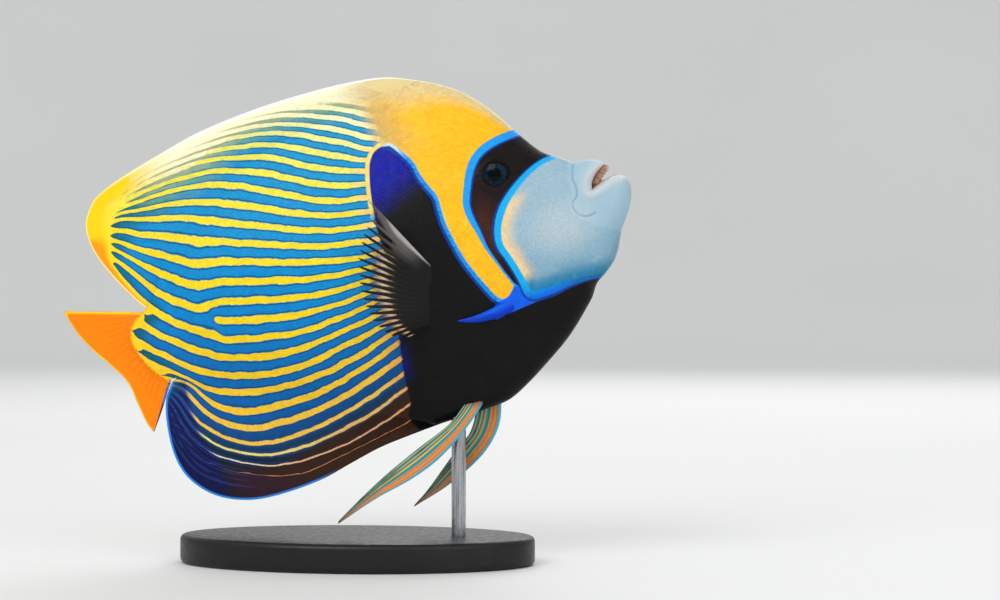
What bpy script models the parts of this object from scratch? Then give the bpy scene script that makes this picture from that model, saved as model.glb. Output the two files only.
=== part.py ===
"""Emperor angelfish as a life-size still model, held nose up on a plain display stand.

Metres, +Z up. The nose points to +X and the model's right side faces -Y. The fish is drawn level,
in millimetres, with the root of its tail fin at the origin, and the empty swim_pose turns it nose
up. Its lowest fin tip clears the stand's base, whose underside is at height 0.
"""

import math

import bmesh
import bpy
from mathutils import Vector

# Driving sizes, in metres and degrees
STANDARD_LENGTH = 0.275
NOSE_UP = 19.0
TAIL_ROOT = (-0.1045, 0.0, 0.1217)
CUT = 0.0003

BASE_SIZE = (0.200, 0.104, 0.016)
BASE_CENTRE_X = 0.008
BASE_EDGE = 0.003
ROD_RADIUS = 0.004
ROD_X = 0.0655
ROD_SUNK_TOP = 0.094
ROD_SOCKET_DEPTH = 0.010

# The drawing is of a fish this long from lips to tail root, in millimetres
DRAWN_LENGTH = 275.0
SCALE = STANDARD_LENGTH / DRAWN_LENGTH

# Outlines of the level fish in side view, (forward, up) in millimetres
DORSAL_ORIGIN = (188, 91.5)
DORSAL_END = (4, 23.5)
ANAL_ORIGIN = (137, -93.2)
ANAL_END = (4, -20.5)
THROAT = (205, -80)
LIP_NOTCH = (254.5, 19.3)
CHIN_FRONT = (267.5, -23.8)
FOREHEAD = [DORSAL_ORIGIN, (198, 85.6), (207.5, 78.2), (216, 68.7), (224, 57), (231, 44.3),
            (239, 32), (246, 26), (251, 22.6), LIP_NOTCH]
CHEST = [THROAT, (217.5, -72.6), (226, -66.4), (234, -59.6), (240, -54), (245, -47.6),
         (252, -43.2), (258, -37.8), (263, -31), CHIN_FRONT]
BELLY = [ANAL_ORIGIN, (150, -93.4), (165, -93.6), (178, -92.8), (192, -87), THROAT]
MUZZLE = [LIP_NOTCH, (260, 19.2), (266, 17), (271, 12), (276, 6.4), (280, 1), (280, -6),
          (276.5, -12), (271, -18), CHIN_FRONT]
DORSAL_BASE = [DORSAL_END, (15, 38), (34, 56), (58, 71), (85, 80.5), (116, 86), (146, 89),
               (170, 91.2), DORSAL_ORIGIN]
DORSAL_MARGIN = [(-0.5, 22), (-5, 29), (-12, 43), (-17.5, 57), (-19.7, 69), (-18, 79.5), (-11, 88.6),
                 (-5, 92.2), (9, 96.6), (35, 102), (61, 106.2), (98, 107.6), (133, 105.8), (156, 103),
                 (172, 99.4), DORSAL_ORIGIN]
ANAL_BASE = [ANAL_END, (31, -36), (66, -56), (107, -77), ANAL_ORIGIN]
ANAL_MARGIN = [(0, -22), (-6.8, -30.5), (-11.3, -47), (-12.1, -64.5), (-8.1, -77.7), (2.5, -90.2),
               (17.9, -98.3), (35, -101.5), (62, -101.4), (81, -98.1), (100, -94.9), (118, -93.8),
               ANAL_ORIGIN]
GILL_EDGE = [THROAT, (197, -57), (190.5, -36), (185, -22), (180, -7), (178, 10), (177.5, 24),
             (173.5, 39), (169, 52), (167, 61), (175, 76), DORSAL_ORIGIN]
STALK_TOP_SHARE = 0.105
STALK_FOOT_SHARE = 0.15
STALK_BOW = (-1.5, 0)
TAIL_BORDER = [(-1, -20.3), (-6, -14), (-9.5, -8), (-12.2, -0.5), (-13.6, 6), (-12.6, 11.4),
               (-9, 16), (-4, 18.8), (0, 19.6)]
TAIL_MARGIN = [(-19.3, -45.4), (-21.4, -40), (-23, -27), (-24.6, -14), (-31.5, -0.5), (-37, 8.4),
               (-42.4, 19.3), (-46, 30), (-47.5, 36.7)]
LIP_GROOVE = [CHIN_FRONT, (260.5, -20.2), (253.3, -14.8), (248.6, -8), (247.6, -2), (249.6, 3),
              (250.9, 8.5), (252.2, 14.6), LIP_NOTCH]
MOUTH_CORNER = (259.5, 1.4)
UPPER_LIP_TOP = [LIP_NOTCH, (258.5, 19.4), (264, 18.2), (268, 16), (270.6, 13.4)]
UPPER_LIP_EDGE = [MOUTH_CORNER, (260.5, 5), (263.6, 9), (267.4, 11.8), (270.6, 13.4)]
LOWER_LIP_EDGE = [MOUTH_CORNER, (265.5, 2.9), (271.2, 4.9), (276.2, 4.8)]
LOWER_LIP_FRONT = [CHIN_FRONT, (271.2, -19.4), (275, -14.6), (278.4, -8.5), (280, -2.5),
                   (279.2, 2.4), (276.2, 4.8)]
GROOVE_CORNER_SHARE = 0.57
LOWER_JAW_START = 0.08

# Half-widths of the body, (forward, half-width) in millimetres, and how blunt its free edges are
BODY_HALF_WIDTH = [(-16, 3.0), (0, 5.2), (15, 8.0), (40, 12.8), (80, 18.8), (120, 23.0), (150, 25.0),
                   (180, 25.2), (205, 23.4), (225, 20.4), (240, 17.2), (252, 13.8), (262, 11.2),
                   (272, 9.4), (284, 7.4)]
TOP_EDGE_HALF_WIDTH = [(-16, 2.0), (3, 2.8), (34, 3.4), (85, 4.2), (146, 4.6), (188, 5.6), (231, 7.4),
                       (262, 8.0), (284, 7.0)]
FOOT_EDGE_HALF_WIDTH = [(-16, 2.0), (3, 2.8), (66, 3.7), (107, 4.3), (137, 5.2), (178, 6.8), (233, 7.6),
                        (252, 9.0), (284, 7.0)]
FREE_EDGE_RADIUS = [(130, 5.5), (200, 6.5), (240, 7.5), (262, 9.0), (284, 8.0)]
SECTION_FULLNESS = 1.2

DORSAL_RAYS = 34
ANAL_RAYS = 23
CAUDAL_RAYS = 17
PECTORAL_RAYS = 19
PELVIC_RAYS = 6
RAY_RELIEF = 0.34
RAY_START = 0.16
RAY_FADE = 0.5
WEB_NOTCH = 0.012

FIN_MARGIN_HALF_THICKNESS = 0.38
FIN_TAPER = 2.4
FIN_END_SHARE = 0.012
TAIL_ROOT_HALF_THICKNESS = 2.4
TAIL_EDGE_SHARE = 0.35

EYE_PLACE = (212.4, 26.0)
EYE_HALF_SIZE = (9.0, 4.5, 9.0)
EYE_PROUD = 1.6
NOSTRILS = [((233.0, 30.6), 1.3), ((229.0, 33.4), 0.9)]
MOUTH_CENTRE = (267.5, 0, 6.8)
MOUTH_HALF_SIZE = (9.0, 5.6, 4.6)
LIP_ROLL = 0.9
LIP_RADIUS = 3.2
LIP_EDGE_SHARE = 0.7

GILL_COVER_THICKNESS = 2.4
GILL_COVER_PROUD = 0.6
GILL_COVER_FRONT = [(199.5, -27.5), (195.5, -16), (192.3, -4), (190.6, 8), (191.2, 18), (195.5, 29),
                    (200.5, 37)]

CHEEK_SPINE_TOP = [(167.5, -42.9), (181.5, -41.8), (193, -39.8), (204, -36.5)]
CHEEK_SPINE_FOOT = [(167.5, -43.9), (181.5, -48), (195, -48.8), (206, -46.5)]
CHEEK_SPINE_THICKNESS = 4.6
CHEEK_SPINE_EDGE = 0.6
CHEEK_SPINE_TIP_SHARE = 0.2
CHEEK_SPINE_SWELL = 2.0
CHEEK_SPINE_CLEARANCE = 0.4
CHEEK_SPINE_SUNK = 3.4
CHEEK_SPINE_SINK = (0.72, 0.92)

PECTORAL_ROOT = [(152.5, -36), (157.5, -25), (164.5, -12)]
PECTORAL_MARGIN = [(135.6, -43), (127, -34), (122.8, -16), (124.4, 1), (129.4, 16), (136.6, 30),
                   (143.4, 38.4)]
PECTORAL_LIFT = 26.0
PECTORAL_SUNK = 2.5
PECTORAL_CUP = 3.0
PECTORAL_ROOT_THICKNESS = 2.6

NEAR_PELVIC = {
    "lead": [(170, -85), (152.6, -98.9), (132.4, -110.7), (114.4, -116.6), (92, -120.6), (68.1, -127)],
    "trail": [(159, -83), (143, -94.6), (124, -101.4), (104.4, -108.6), (86, -116.8), (68.7, -125.6)],
    "side": (5.0, 21.0),
}
FAR_PELVIC = {
    "lead": [(175, -85), (168.5, -102), (159.8, -112), (148, -119.6), (127, -127.7), (104.8, -133)],
    "trail": [(163, -83), (151, -102), (139, -110), (127, -118.4), (115, -126.6), (105.4, -132)],
    "side": (5.0, 18.0),
}
PELVIC_ROOT_THICKNESS = 3.0

# Counts of the meshes' columns and rows
EDGE_ROWS = [0, 0.004, 0.013, 0.03]
BODY_ROWS = EDGE_ROWS + [0.06 + 0.055 * k for k in range(17)] + [1 - t for t in EDGE_ROWS[::-1]]
GILL_COVER_ROWS = slice(8, 19)
JAW_ROWS = [0, 0.03, 0.1, 0.22, 0.4, 0.6, 0.78, 0.9, 0.97, 1]
FIN_ROWS = 5
CURVE_STEPS = 12
SMOOTH_BELOW = 40.0
MERGE_DISTANCE = 1e-6
TINY = 1e-6


def ramp(table, at):
    """Value at a place in a table of (place, value) pairs, on a smooth curve through them."""
    last = len(table) - 1
    if at <= table[0][0]:
        return table[0][1]
    if at >= table[last][0]:
        return table[last][1]
    k = next(i for i in range(last) if table[i + 1][0] >= at)
    (x0, y0), (x1, y1) = table[k], table[k + 1]
    before, after = table[max(k - 1, 0)], table[min(k + 2, last)]
    span = x1 - x0
    slope0 = (y1 - before[1]) / (x1 - before[0])
    slope1 = (after[1] - y0) / (after[0] - x0)
    u = (at - x0) / span
    return (y0 * (1 + 2 * u) * (1 - u) ** 2 + y1 * (3 - 2 * u) * u ** 2
            + slope0 * span * u * (1 - u) ** 2 - slope1 * span * (1 - u) * u ** 2)


def smooth_line(points):
    """Close-set places on a smooth line through the points."""
    knots = [Vector(p) for p in points]
    line = [knots[0]]
    for k in range(len(knots) - 1):
        a, b = knots[k], knots[k + 1]
        before, after = knots[max(k - 1, 0)], knots[min(k + 2, len(knots) - 1)]
        span = (b - a).length
        start = (b - before).normalized() * span
        end = (after - a).normalized() * span
        for step in range(1, CURVE_STEPS + 1):
            u = step / CURVE_STEPS
            line.append(a * (1 + 2 * u) * (1 - u) ** 2 + b * (3 - 2 * u) * u ** 2
                        + start * u * (1 - u) ** 2 - end * (1 - u) * u ** 2)
    return line


def spaced(points, fractions):
    """Places on the smooth line through the points, at fractions of its length."""
    line = smooth_line(points)
    lengths = [0.0]
    for a, b in zip(line, line[1:]):
        lengths.append(lengths[-1] + (b - a).length)
    places = []
    for fraction in fractions:
        want = clamped(fraction) * lengths[-1]
        k = next((i for i in range(len(line) - 2) if lengths[i + 1] >= want), len(line) - 2)
        share = (want - lengths[k]) / max(lengths[k + 1] - lengths[k], TINY)
        places.append(line[k].lerp(line[k + 1], share))
    return places


def stretch(points, start, end):
    """Close-set places on the smooth line through the points, between two fractions of its length."""
    return spaced(points, [start + (end - start) * k for k in even(30)])


def even(count):
    """Fractions from 0 to 1 in this many equal steps."""
    return [k / count for k in range(count + 1)]


def closing(count):
    """Fractions from 0 to 1 whose steps shrink towards 1."""
    return [1 - (1 - k) ** 2 for k in even(count)]


def clamped(value):
    """Value kept between 0 and 1."""
    return min(max(value, 0), 1)


def rounded(share):
    """Height of a quarter circle of radius 1 at a share of the way in from its edge."""
    return math.sqrt(1 - (1 - clamped(share)) ** 2)


TOP_LINE = smooth_line(DORSAL_BASE)[:-1] + smooth_line(FOREHEAD)[:-1] + smooth_line(MUZZLE[:6])
FOOT_LINE = (smooth_line(ANAL_BASE)[:-1] + smooth_line(BELLY)[:-1] + smooth_line(CHEST)[:-1]
             + smooth_line(MUZZLE[:5:-1]))
FREE_EDGE = smooth_line(FOREHEAD) + smooth_line(MUZZLE)[1:] + smooth_line(CHEST[::-1])[1:] \
    + smooth_line(BELLY[::-1])[1:]


def height_of(line, forward):
    """Height of a side-view line above a place along the fish."""
    if forward <= line[0].x:
        return line[0].y
    for a, b in zip(line, line[1:]):
        if a.x <= forward <= b.x:
            share = (forward - a.x) / max(b.x - a.x, TINY)
            return a.y + (b.y - a.y) * share
    return line[-1].y


def distance(place, line):
    """Distance of a side-view place from a close-set line."""
    best = math.inf
    for a, b in zip(line, line[1:]):
        run = b - a
        share = clamped((place - a).dot(run) / run.length_squared)
        best = min(best, (place - a - run * share).length)
    return best


def half_width(place):
    """Half-width of the body at a place in side view: a lens across its height, with round free edges."""
    top = height_of(TOP_LINE, place.x)
    foot = height_of(FOOT_LINE, place.x)
    share = clamped((place.y - foot) / max(top - foot, 1.0))
    edge = ramp(FOOT_EDGE_HALF_WIDTH, place.x) * (1 - share) + ramp(TOP_EDGE_HALF_WIDTH, place.x) * share
    lens = (1 - (2 * share - 1) ** 2) ** SECTION_FULLNESS
    width = edge + (ramp(BODY_HALF_WIDTH, place.x) - edge) * lens
    return width * rounded(distance(place, FREE_EDGE) / ramp(FREE_EDGE_RADIUS, place.x))


def patch(rear, front, foot, top, columns, rows):
    """Grid of side-view places between four edge lines, by column and row."""
    rear, front = spaced(rear, rows), spaced(front, rows)
    foot, top = spaced(foot, columns), spaced(top, columns)
    grid = []
    for i, s in enumerate(columns):
        line = []
        for j, t in enumerate(rows):
            across = rear[j] * (1 - s) + front[j] * s
            upward = foot[i] * (1 - t) + top[i] * t
            corners = ((rear[0] * (1 - s) + front[0] * s) * (1 - t)
                       + (rear[-1] * (1 - s) + front[-1] * s) * t)
            line.append(across + upward - corners)
        grid.append(line)
    return grid


def part_off(grid, sides):
    """Moves the named sides of a grid in by half a cut, so that neighbours keep a gap."""
    last_column, last_row = len(grid) - 1, len(grid[0]) - 1
    shifts = {}
    runs = {
        "rear": [(0, j) for j in range(last_row, -1, -1)],
        "front": [(last_column, j) for j in range(last_row + 1)],
        "foot": [(i, 0) for i in range(last_column + 1)],
        "top": [(i, last_row) for i in range(last_column, -1, -1)],
    }
    for side in sides:
        run = runs[side]
        for k, (i, j) in enumerate(run):
            a, b = run[max(k - 1, 0)], run[min(k + 1, len(run) - 1)]
            way = (grid[b[0]][b[1]] - grid[a[0]][a[1]]).normalized()
            inward = Vector((-way.y, way.x)) * (CUT / SCALE / 2)
            shifts[(i, j)] = shifts.get((i, j), Vector((0, 0))) + inward
    for (i, j), shift in shifts.items():
        grid[i][j] = grid[i][j] + shift
    return grid


def material(name, colour, roughness=0.45, metallic=0.0):
    """Principled material of one colour."""
    finish = bpy.data.materials.new(name)
    finish.use_nodes = True
    shader = finish.node_tree.nodes["Principled BSDF"]
    shader.inputs["Base Color"].default_value = (*colour, 1)
    shader.inputs["Roughness"].default_value = roughness
    shader.inputs["Metallic"].default_value = metallic
    finish.diffuse_color = (*colour, 1)
    return finish


def add_object(name, mesh, finish, collection, parent=None):
    """Puts a mesh in the scene under its name, shaded smooth except at sharp edges."""
    piece = bpy.data.objects.new(name, mesh)
    collection.objects.link(piece)
    piece.parent = parent
    if finish:
        mesh.materials.append(finish)
    mesh.shade_smooth()
    mesh.set_sharp_from_angle(angle=math.radians(SMOOTH_BELOW))
    return piece


def grid_sheet(columns, rows, place, weight=None):
    """Sheet of triangles with each grid point where place(column, row) says, weighted by weight."""
    sheet = bmesh.new()
    layer = sheet.verts.layers.deform.verify() if weight else None
    bmesh.ops.create_grid(sheet, x_segments=columns - 1, y_segments=rows - 1, size=1)
    for vertex in sheet.verts:
        i = round((vertex.co.x + 1) / 2 * (columns - 1))
        j = round((vertex.co.y + 1) / 2 * (rows - 1))
        vertex.co = place(i, j)
        if weight:
            vertex[layer][0] = weight(i, j)
    bmesh.ops.triangulate(sheet, faces=sheet.faces[:], quad_method="SHORT_EDGE")
    return sheet


def even_sided_mesh(name, grid, width):
    """Closed mesh with the grid's faces on both sides, width(column, row, place) off the middle plane."""
    def right_side(i, j):
        place = grid[i][j]
        return Vector((place.x, -width(i, j, place), place.y)) * SCALE

    body = grid_sheet(len(grid), len(grid[0]), right_side)
    rim = [edge for edge in body.edges if edge.is_boundary]
    wall = bmesh.ops.extrude_edge_only(body, edges=rim)["geom"]
    for item in wall:
        if isinstance(item, bmesh.types.BMVert):
            item.co.y = 0
    bmesh.ops.remove_doubles(body, verts=body.verts[:], dist=MERGE_DISTANCE)
    bmesh.ops.mirror(body, geom=body.verts[:] + body.edges[:] + body.faces[:], axis="Y",
                     merge_dist=MERGE_DISTANCE)
    bmesh.ops.recalc_face_normals(body, faces=body.faces[:])
    mesh = bpy.data.meshes.new(name)
    body.to_mesh(mesh)
    body.free()
    return mesh


def vane(name, columns, rows, place, thickness, finish, parts, pose):
    """Thin piece: a sheet given its thickness(column, row) equally on both faces."""
    thickest = max(thickness(i, j) for i in range(columns) for j in range(rows))
    sheet = grid_sheet(columns, rows, lambda i, j: place(i, j) * SCALE,
                       lambda i, j: thickness(i, j) / thickest)
    mesh = bpy.data.meshes.new(name)
    sheet.to_mesh(mesh)
    sheet.free()
    piece = add_object(name, mesh, finish, parts, pose)
    piece.vertex_groups.new(name="thickness")
    wall = piece.modifiers.new("wall", "SOLIDIFY")
    wall.thickness = thickest * SCALE
    wall.offset = 0
    wall.vertex_group = "thickness"
    return piece


def hide(cutter):
    """Marks an object as a cutter."""
    cutter.hide_render = True
    cutter.display_type = "WIRE"


def swollen_copy(piece, cutters):
    """Hidden copy of a piece, one cut larger all round, to seat another piece against it."""
    cutter = piece.copy()
    cutter.name = f"seat_of_{piece.name}"
    cutters.objects.link(cutter)
    hide(cutter)
    swell = cutter.modifiers.new("swell", "DISPLACE")
    swell.mid_level = 0
    swell.strength = CUT
    return cutter


def cut_away(piece, cutter):
    """Takes a cutter's shape out of a piece."""
    cut = piece.modifiers.new(f"without_{cutter.name}", "BOOLEAN")
    cut.operation = "DIFFERENCE"
    cut.solver = "EXACT"
    cut.object = cutter


def ball(name, centre, half_size, finish, collection, pose, segments=18, rings=9):
    """Ellipsoid round a centre, in the drawing's millimetres, with its scale in its mesh."""
    shape = bmesh.new()
    bmesh.ops.create_uvsphere(shape, u_segments=segments, v_segments=rings, radius=1)
    bmesh.ops.scale(shape, vec=Vector(half_size) * SCALE, verts=shape.verts[:])
    mesh = bpy.data.meshes.new(name)
    shape.to_mesh(mesh)
    shape.free()
    piece = add_object(name, mesh, finish, collection, pose)
    piece.location = Vector(centre) * SCALE
    return piece


def body_width(i, j, place):
    """Half-width of the body, whatever the column and row."""
    return half_width(place)


def stalk_line():
    """Line across the fish, foot to top, that parts the trunk from the tail stalk."""
    foot = spaced(ANAL_BASE, [STALK_FOOT_SHARE])[0]
    top = spaced(DORSAL_BASE, [STALK_TOP_SHARE])[0]
    return [foot, foot.lerp(top, 0.5) + Vector(STALK_BOW), top]


def make_head(parts, pose, finish):
    """Head from the gill edge forward to the groove behind the lips."""
    grid = patch(GILL_EDGE, LIP_GROOVE, CHEST, FOREHEAD, even(18), BODY_ROWS)
    part_off(grid, ("rear", "front"))
    return add_object("head", even_sided_mesh("head", grid, body_width), finish, parts, pose)


def make_torso(parts, pose, finish):
    """Trunk between the gill edge and the tail stalk, under the dorsal fin and over the anal fin."""
    foot = stretch(ANAL_BASE, STALK_FOOT_SHARE, 1)[:-1] + smooth_line(BELLY)
    top = stretch(DORSAL_BASE, STALK_TOP_SHARE, 1)
    grid = patch(stalk_line(), GILL_EDGE, foot, top, even(24), BODY_ROWS)
    part_off(grid, ("rear", "front", "foot", "top"))
    return add_object("torso", even_sided_mesh("torso", grid, body_width), finish, parts, pose)


def make_tail_stalk(parts, pose, finish):
    """Stalk from the trunk to the rounded, scaly border of the tail fin."""
    foot = [Vector(TAIL_BORDER[0])] + stretch(ANAL_BASE, 0, STALK_FOOT_SHARE)
    top = [Vector(TAIL_BORDER[-1])] + stretch(DORSAL_BASE, 0, STALK_TOP_SHARE)
    grid = patch(TAIL_BORDER, stalk_line(), foot, top, even(8), even(17))
    part_off(grid, ("rear", "front", "foot", "top"))
    return add_object("tail_stalk", even_sided_mesh("tail_stalk", grid, body_width), finish, parts, pose)


def ray_steps(rays, end=0.0):
    """Fractions along a fin's root with a web between every two rays; the rays are the odd ones."""
    return [end + (1 - 2 * end) * k for k in even(2 * rays)]


def fin_width(root, share, step):
    """Half-thickness of a fin at a share of the way from its root to its margin, on a ray or a web."""
    web = FIN_MARGIN_HALF_THICKNESS + (root - FIN_MARGIN_HALF_THICKNESS) * (1 - share) ** FIN_TAPER
    rise = clamped((share - RAY_START) / RAY_START) * (1 - share * RAY_FADE)
    return web + RAY_RELIEF * rise * (step % 2)


def notched(root, margin):
    """Margin drawn in a little at the webs, so that the ray tips stand out."""
    return [edge.lerp(foot, WEB_NOTCH * ((k + 1) % 2)) for k, (foot, edge) in enumerate(zip(root, margin))]


def make_dorsal_fin(parts, pose, finish):
    """Dorsal fin, thick at its scaly base and thin at its margin, with its spines and rays raised."""
    columns = ray_steps(DORSAL_RAYS, FIN_END_SHARE)
    rows = even(FIN_ROWS)
    base = spaced(DORSAL_BASE, columns)
    margin = notched(base, spaced(DORSAL_MARGIN, columns))
    roots = [half_width(place) for place in base]
    grid = [[a.lerp(b, t) for t in rows] for a, b in zip(base, margin)]
    part_off(grid, ("foot",))
    mesh = even_sided_mesh("dorsal_fin", grid, lambda i, j, place: fin_width(roots[i], rows[j], i))
    return add_object("dorsal_fin", mesh, finish, parts, pose)


def make_anal_fin(parts, pose, finish):
    """Anal fin, thick at its scaly base and thin at its margin, with its rays raised."""
    columns = ray_steps(ANAL_RAYS, FIN_END_SHARE)
    rows = even(FIN_ROWS)
    base = spaced(ANAL_BASE, columns)
    margin = notched(base, spaced(ANAL_MARGIN, columns))
    roots = [half_width(place) for place in base]
    grid = [[b.lerp(a, t) for t in rows] for a, b in zip(base, margin)]
    part_off(grid, ("top",))
    mesh = even_sided_mesh("anal_fin", grid, lambda i, j, place: fin_width(roots[i], 1 - rows[j], i))
    return add_object("anal_fin", mesh, finish, parts, pose)


def make_caudal_fin(parts, pose, finish):
    """Spread tail fin behind the scaly border, with its rays raised."""
    rows = ray_steps(CAUDAL_RAYS)
    columns = even(FIN_ROWS)
    border = spaced(TAIL_BORDER, rows)
    margin = notched(border, spaced(TAIL_MARGIN, rows))
    grid = [[a.lerp(b, s) for a, b in zip(margin, border)] for s in columns]
    part_off(grid, ("front",))

    def width(i, j, place):
        root = TAIL_ROOT_HALF_THICKNESS * clamped(TAIL_EDGE_SHARE + math.sin(math.pi * rows[j]))
        return fin_width(root, 1 - columns[i], j)

    return add_object("caudal_fin", even_sided_mesh("caudal_fin", grid, width), finish, parts, pose)


def make_jaws(parts, pose, finish):
    """Upper and lower jaw with their lips, either side of the open mouth."""
    share = GROOVE_CORNER_SHARE
    groove_corner = spaced(LIP_GROOVE, [share])[0]
    crease = [groove_corner, Vector(MOUTH_CORNER)]
    upper = patch(stretch(LIP_GROOVE, share, 1), UPPER_LIP_EDGE, crease, UPPER_LIP_TOP, closing(7), JAW_ROWS)
    part_off(upper, ("rear", "foot"))
    lower_foot = stretch(LIP_GROOVE, share, 0)
    lower_top = crease[:1] + [Vector(p) for p in LOWER_LIP_EDGE]
    along = [LOWER_JAW_START + (1 - LOWER_JAW_START) * k for k in closing(10)]
    lower = patch([groove_corner, groove_corner], LOWER_LIP_FRONT, lower_foot, lower_top, along, JAW_ROWS)
    part_off(lower, ("rear", "foot"))

    jaws = []
    for name, grid, edge in (("upper_jaw", upper, UPPER_LIP_EDGE), ("lower_jaw", lower, LOWER_LIP_EDGE)):
        lip = smooth_line(edge)

        def lipped(i, j, place):
            depth = distance(place, lip) / LIP_RADIUS
            roll = LIP_ROLL * math.sin(math.pi * min(depth, 2) / 2)
            return (half_width(place) + roll) * (LIP_EDGE_SHARE + (1 - LIP_EDGE_SHARE) * rounded(depth))

        jaws.append(add_object(name, even_sided_mesh(name, grid, lipped), finish, parts, pose))
    return jaws


def make_gill_cover(name, side, parts, pose, finish):
    """Gill flap, a plate that stands a little proud between the cheek and the gill edge."""
    rows = BODY_ROWS[GILL_COVER_ROWS]
    rear = spaced(GILL_EDGE, rows)
    front = spaced(GILL_COVER_FRONT, [(t - rows[0]) / (rows[-1] - rows[0]) for t in rows])
    columns = even(5)
    grid = [[a.lerp(b, s) for a, b in zip(rear, front)] for s in columns]
    part_off(grid, ("rear",))
    middle = GILL_COVER_PROUD - GILL_COVER_THICKNESS / 2

    def place(i, j):
        spot = grid[i][j]
        return Vector((spot.x, side * (half_width(spot) + middle), spot.y))

    return vane(name, len(columns), len(rows), place, lambda i, j: GILL_COVER_THICKNESS, finish, parts, pose)


def make_cheek_spine(name, side, parts, pose, finish):
    """Spine at the lower rear corner of the cheek, lying back over the gill edge."""
    along, across = even(8), even(4)
    top, foot = spaced(CHEEK_SPINE_TOP, along), spaced(CHEEK_SPINE_FOOT, along)

    def thickness(i, j):
        swell = clamped(CHEEK_SPINE_TIP_SHARE + CHEEK_SPINE_SWELL * along[i])
        roundness = rounded(1 - abs(1 - 2 * across[j]))
        return CHEEK_SPINE_EDGE + (CHEEK_SPINE_THICKNESS - CHEEK_SPINE_EDGE) * roundness * swell

    def place(i, j):
        spot = foot[i].lerp(top[i], across[j])
        start, end = CHEEK_SPINE_SINK
        sunk = CHEEK_SPINE_SUNK * clamped((along[i] - start) / (end - start))
        off = half_width(spot) + CHEEK_SPINE_CLEARANCE + thickness(i, j) / 2 - sunk
        return Vector((spot.x, side * off, spot.y))

    return vane(name, len(along), len(across), place, thickness, finish, parts, pose)


def make_pectoral_fin(name, side, parts, pose, finish):
    """Side fin, a fan of rays that stands out and back from its root on the flank."""
    along, across = even(FIN_ROWS), ray_steps(PECTORAL_RAYS)
    root, margin = spaced(PECTORAL_ROOT, across), spaced(PECTORAL_MARGIN, across)
    margin = notched(root, margin)
    depth = [half_width(spot) - PECTORAL_SUNK for spot in root]

    def place(i, j):
        spot = root[j].lerp(margin[j], along[i])
        lift = PECTORAL_LIFT + PECTORAL_SUNK - PECTORAL_CUP * math.sin(math.pi * across[j])
        return Vector((spot.x, side * (depth[j] + lift * along[i]), spot.y))

    def thickness(i, j):
        return 2 * fin_width(PECTORAL_ROOT_THICKNESS / 2, along[i], j)

    return vane(name, len(along), len(across), place, thickness, finish, parts, pose)


def make_pelvic_fin(name, side, shape, parts, pose, finish):
    """Belly fin, a long blade of a spine and rays swept back to a fine tip."""
    along, across = even(11), ray_steps(PELVIC_RAYS)
    lead, trail = spaced(shape["lead"], along), spaced(shape["trail"], along)
    root_side, tip_side = shape["side"]

    def place(i, j):
        spot = lead[i].lerp(trail[i], across[j])
        return Vector((spot.x, side * (root_side + (tip_side - root_side) * along[i]), spot.y))

    def thickness(i, j):
        return 2 * fin_width(PELVIC_ROOT_THICKNESS / 2, along[i], j)

    return vane(name, len(along), len(across), place, thickness, finish, parts, pose)


def make_stand(parts, base_finish, rod_finish):
    """Oblong base with a socket, and the rod that stands in it."""
    shape = bmesh.new()
    bmesh.ops.create_cone(shape, cap_ends=True, segments=48, radius1=0.5, radius2=0.5, depth=1)
    bmesh.ops.scale(shape, vec=BASE_SIZE, verts=shape.verts[:])
    mesh = bpy.data.meshes.new("stand_base")
    shape.to_mesh(mesh)
    shape.free()
    base = add_object("stand_base", mesh, base_finish, parts)
    base.location = (BASE_CENTRE_X, 0, BASE_SIZE[2] / 2)
    edge = base.modifiers.new("edge", "BEVEL")
    edge.width = BASE_EDGE
    edge.segments = 2

    foot = BASE_SIZE[2] - ROD_SOCKET_DEPTH
    shape = bmesh.new()
    bmesh.ops.create_cone(shape, cap_ends=True, segments=16, radius1=ROD_RADIUS, radius2=ROD_RADIUS,
                          depth=ROD_SUNK_TOP - foot)
    mesh = bpy.data.meshes.new("stand_rod")
    shape.to_mesh(mesh)
    shape.free()
    rod = add_object("stand_rod", mesh, rod_finish, parts)
    rod.location = (ROD_X, 0, (foot + ROD_SUNK_TOP) / 2)
    return base, rod


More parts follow.
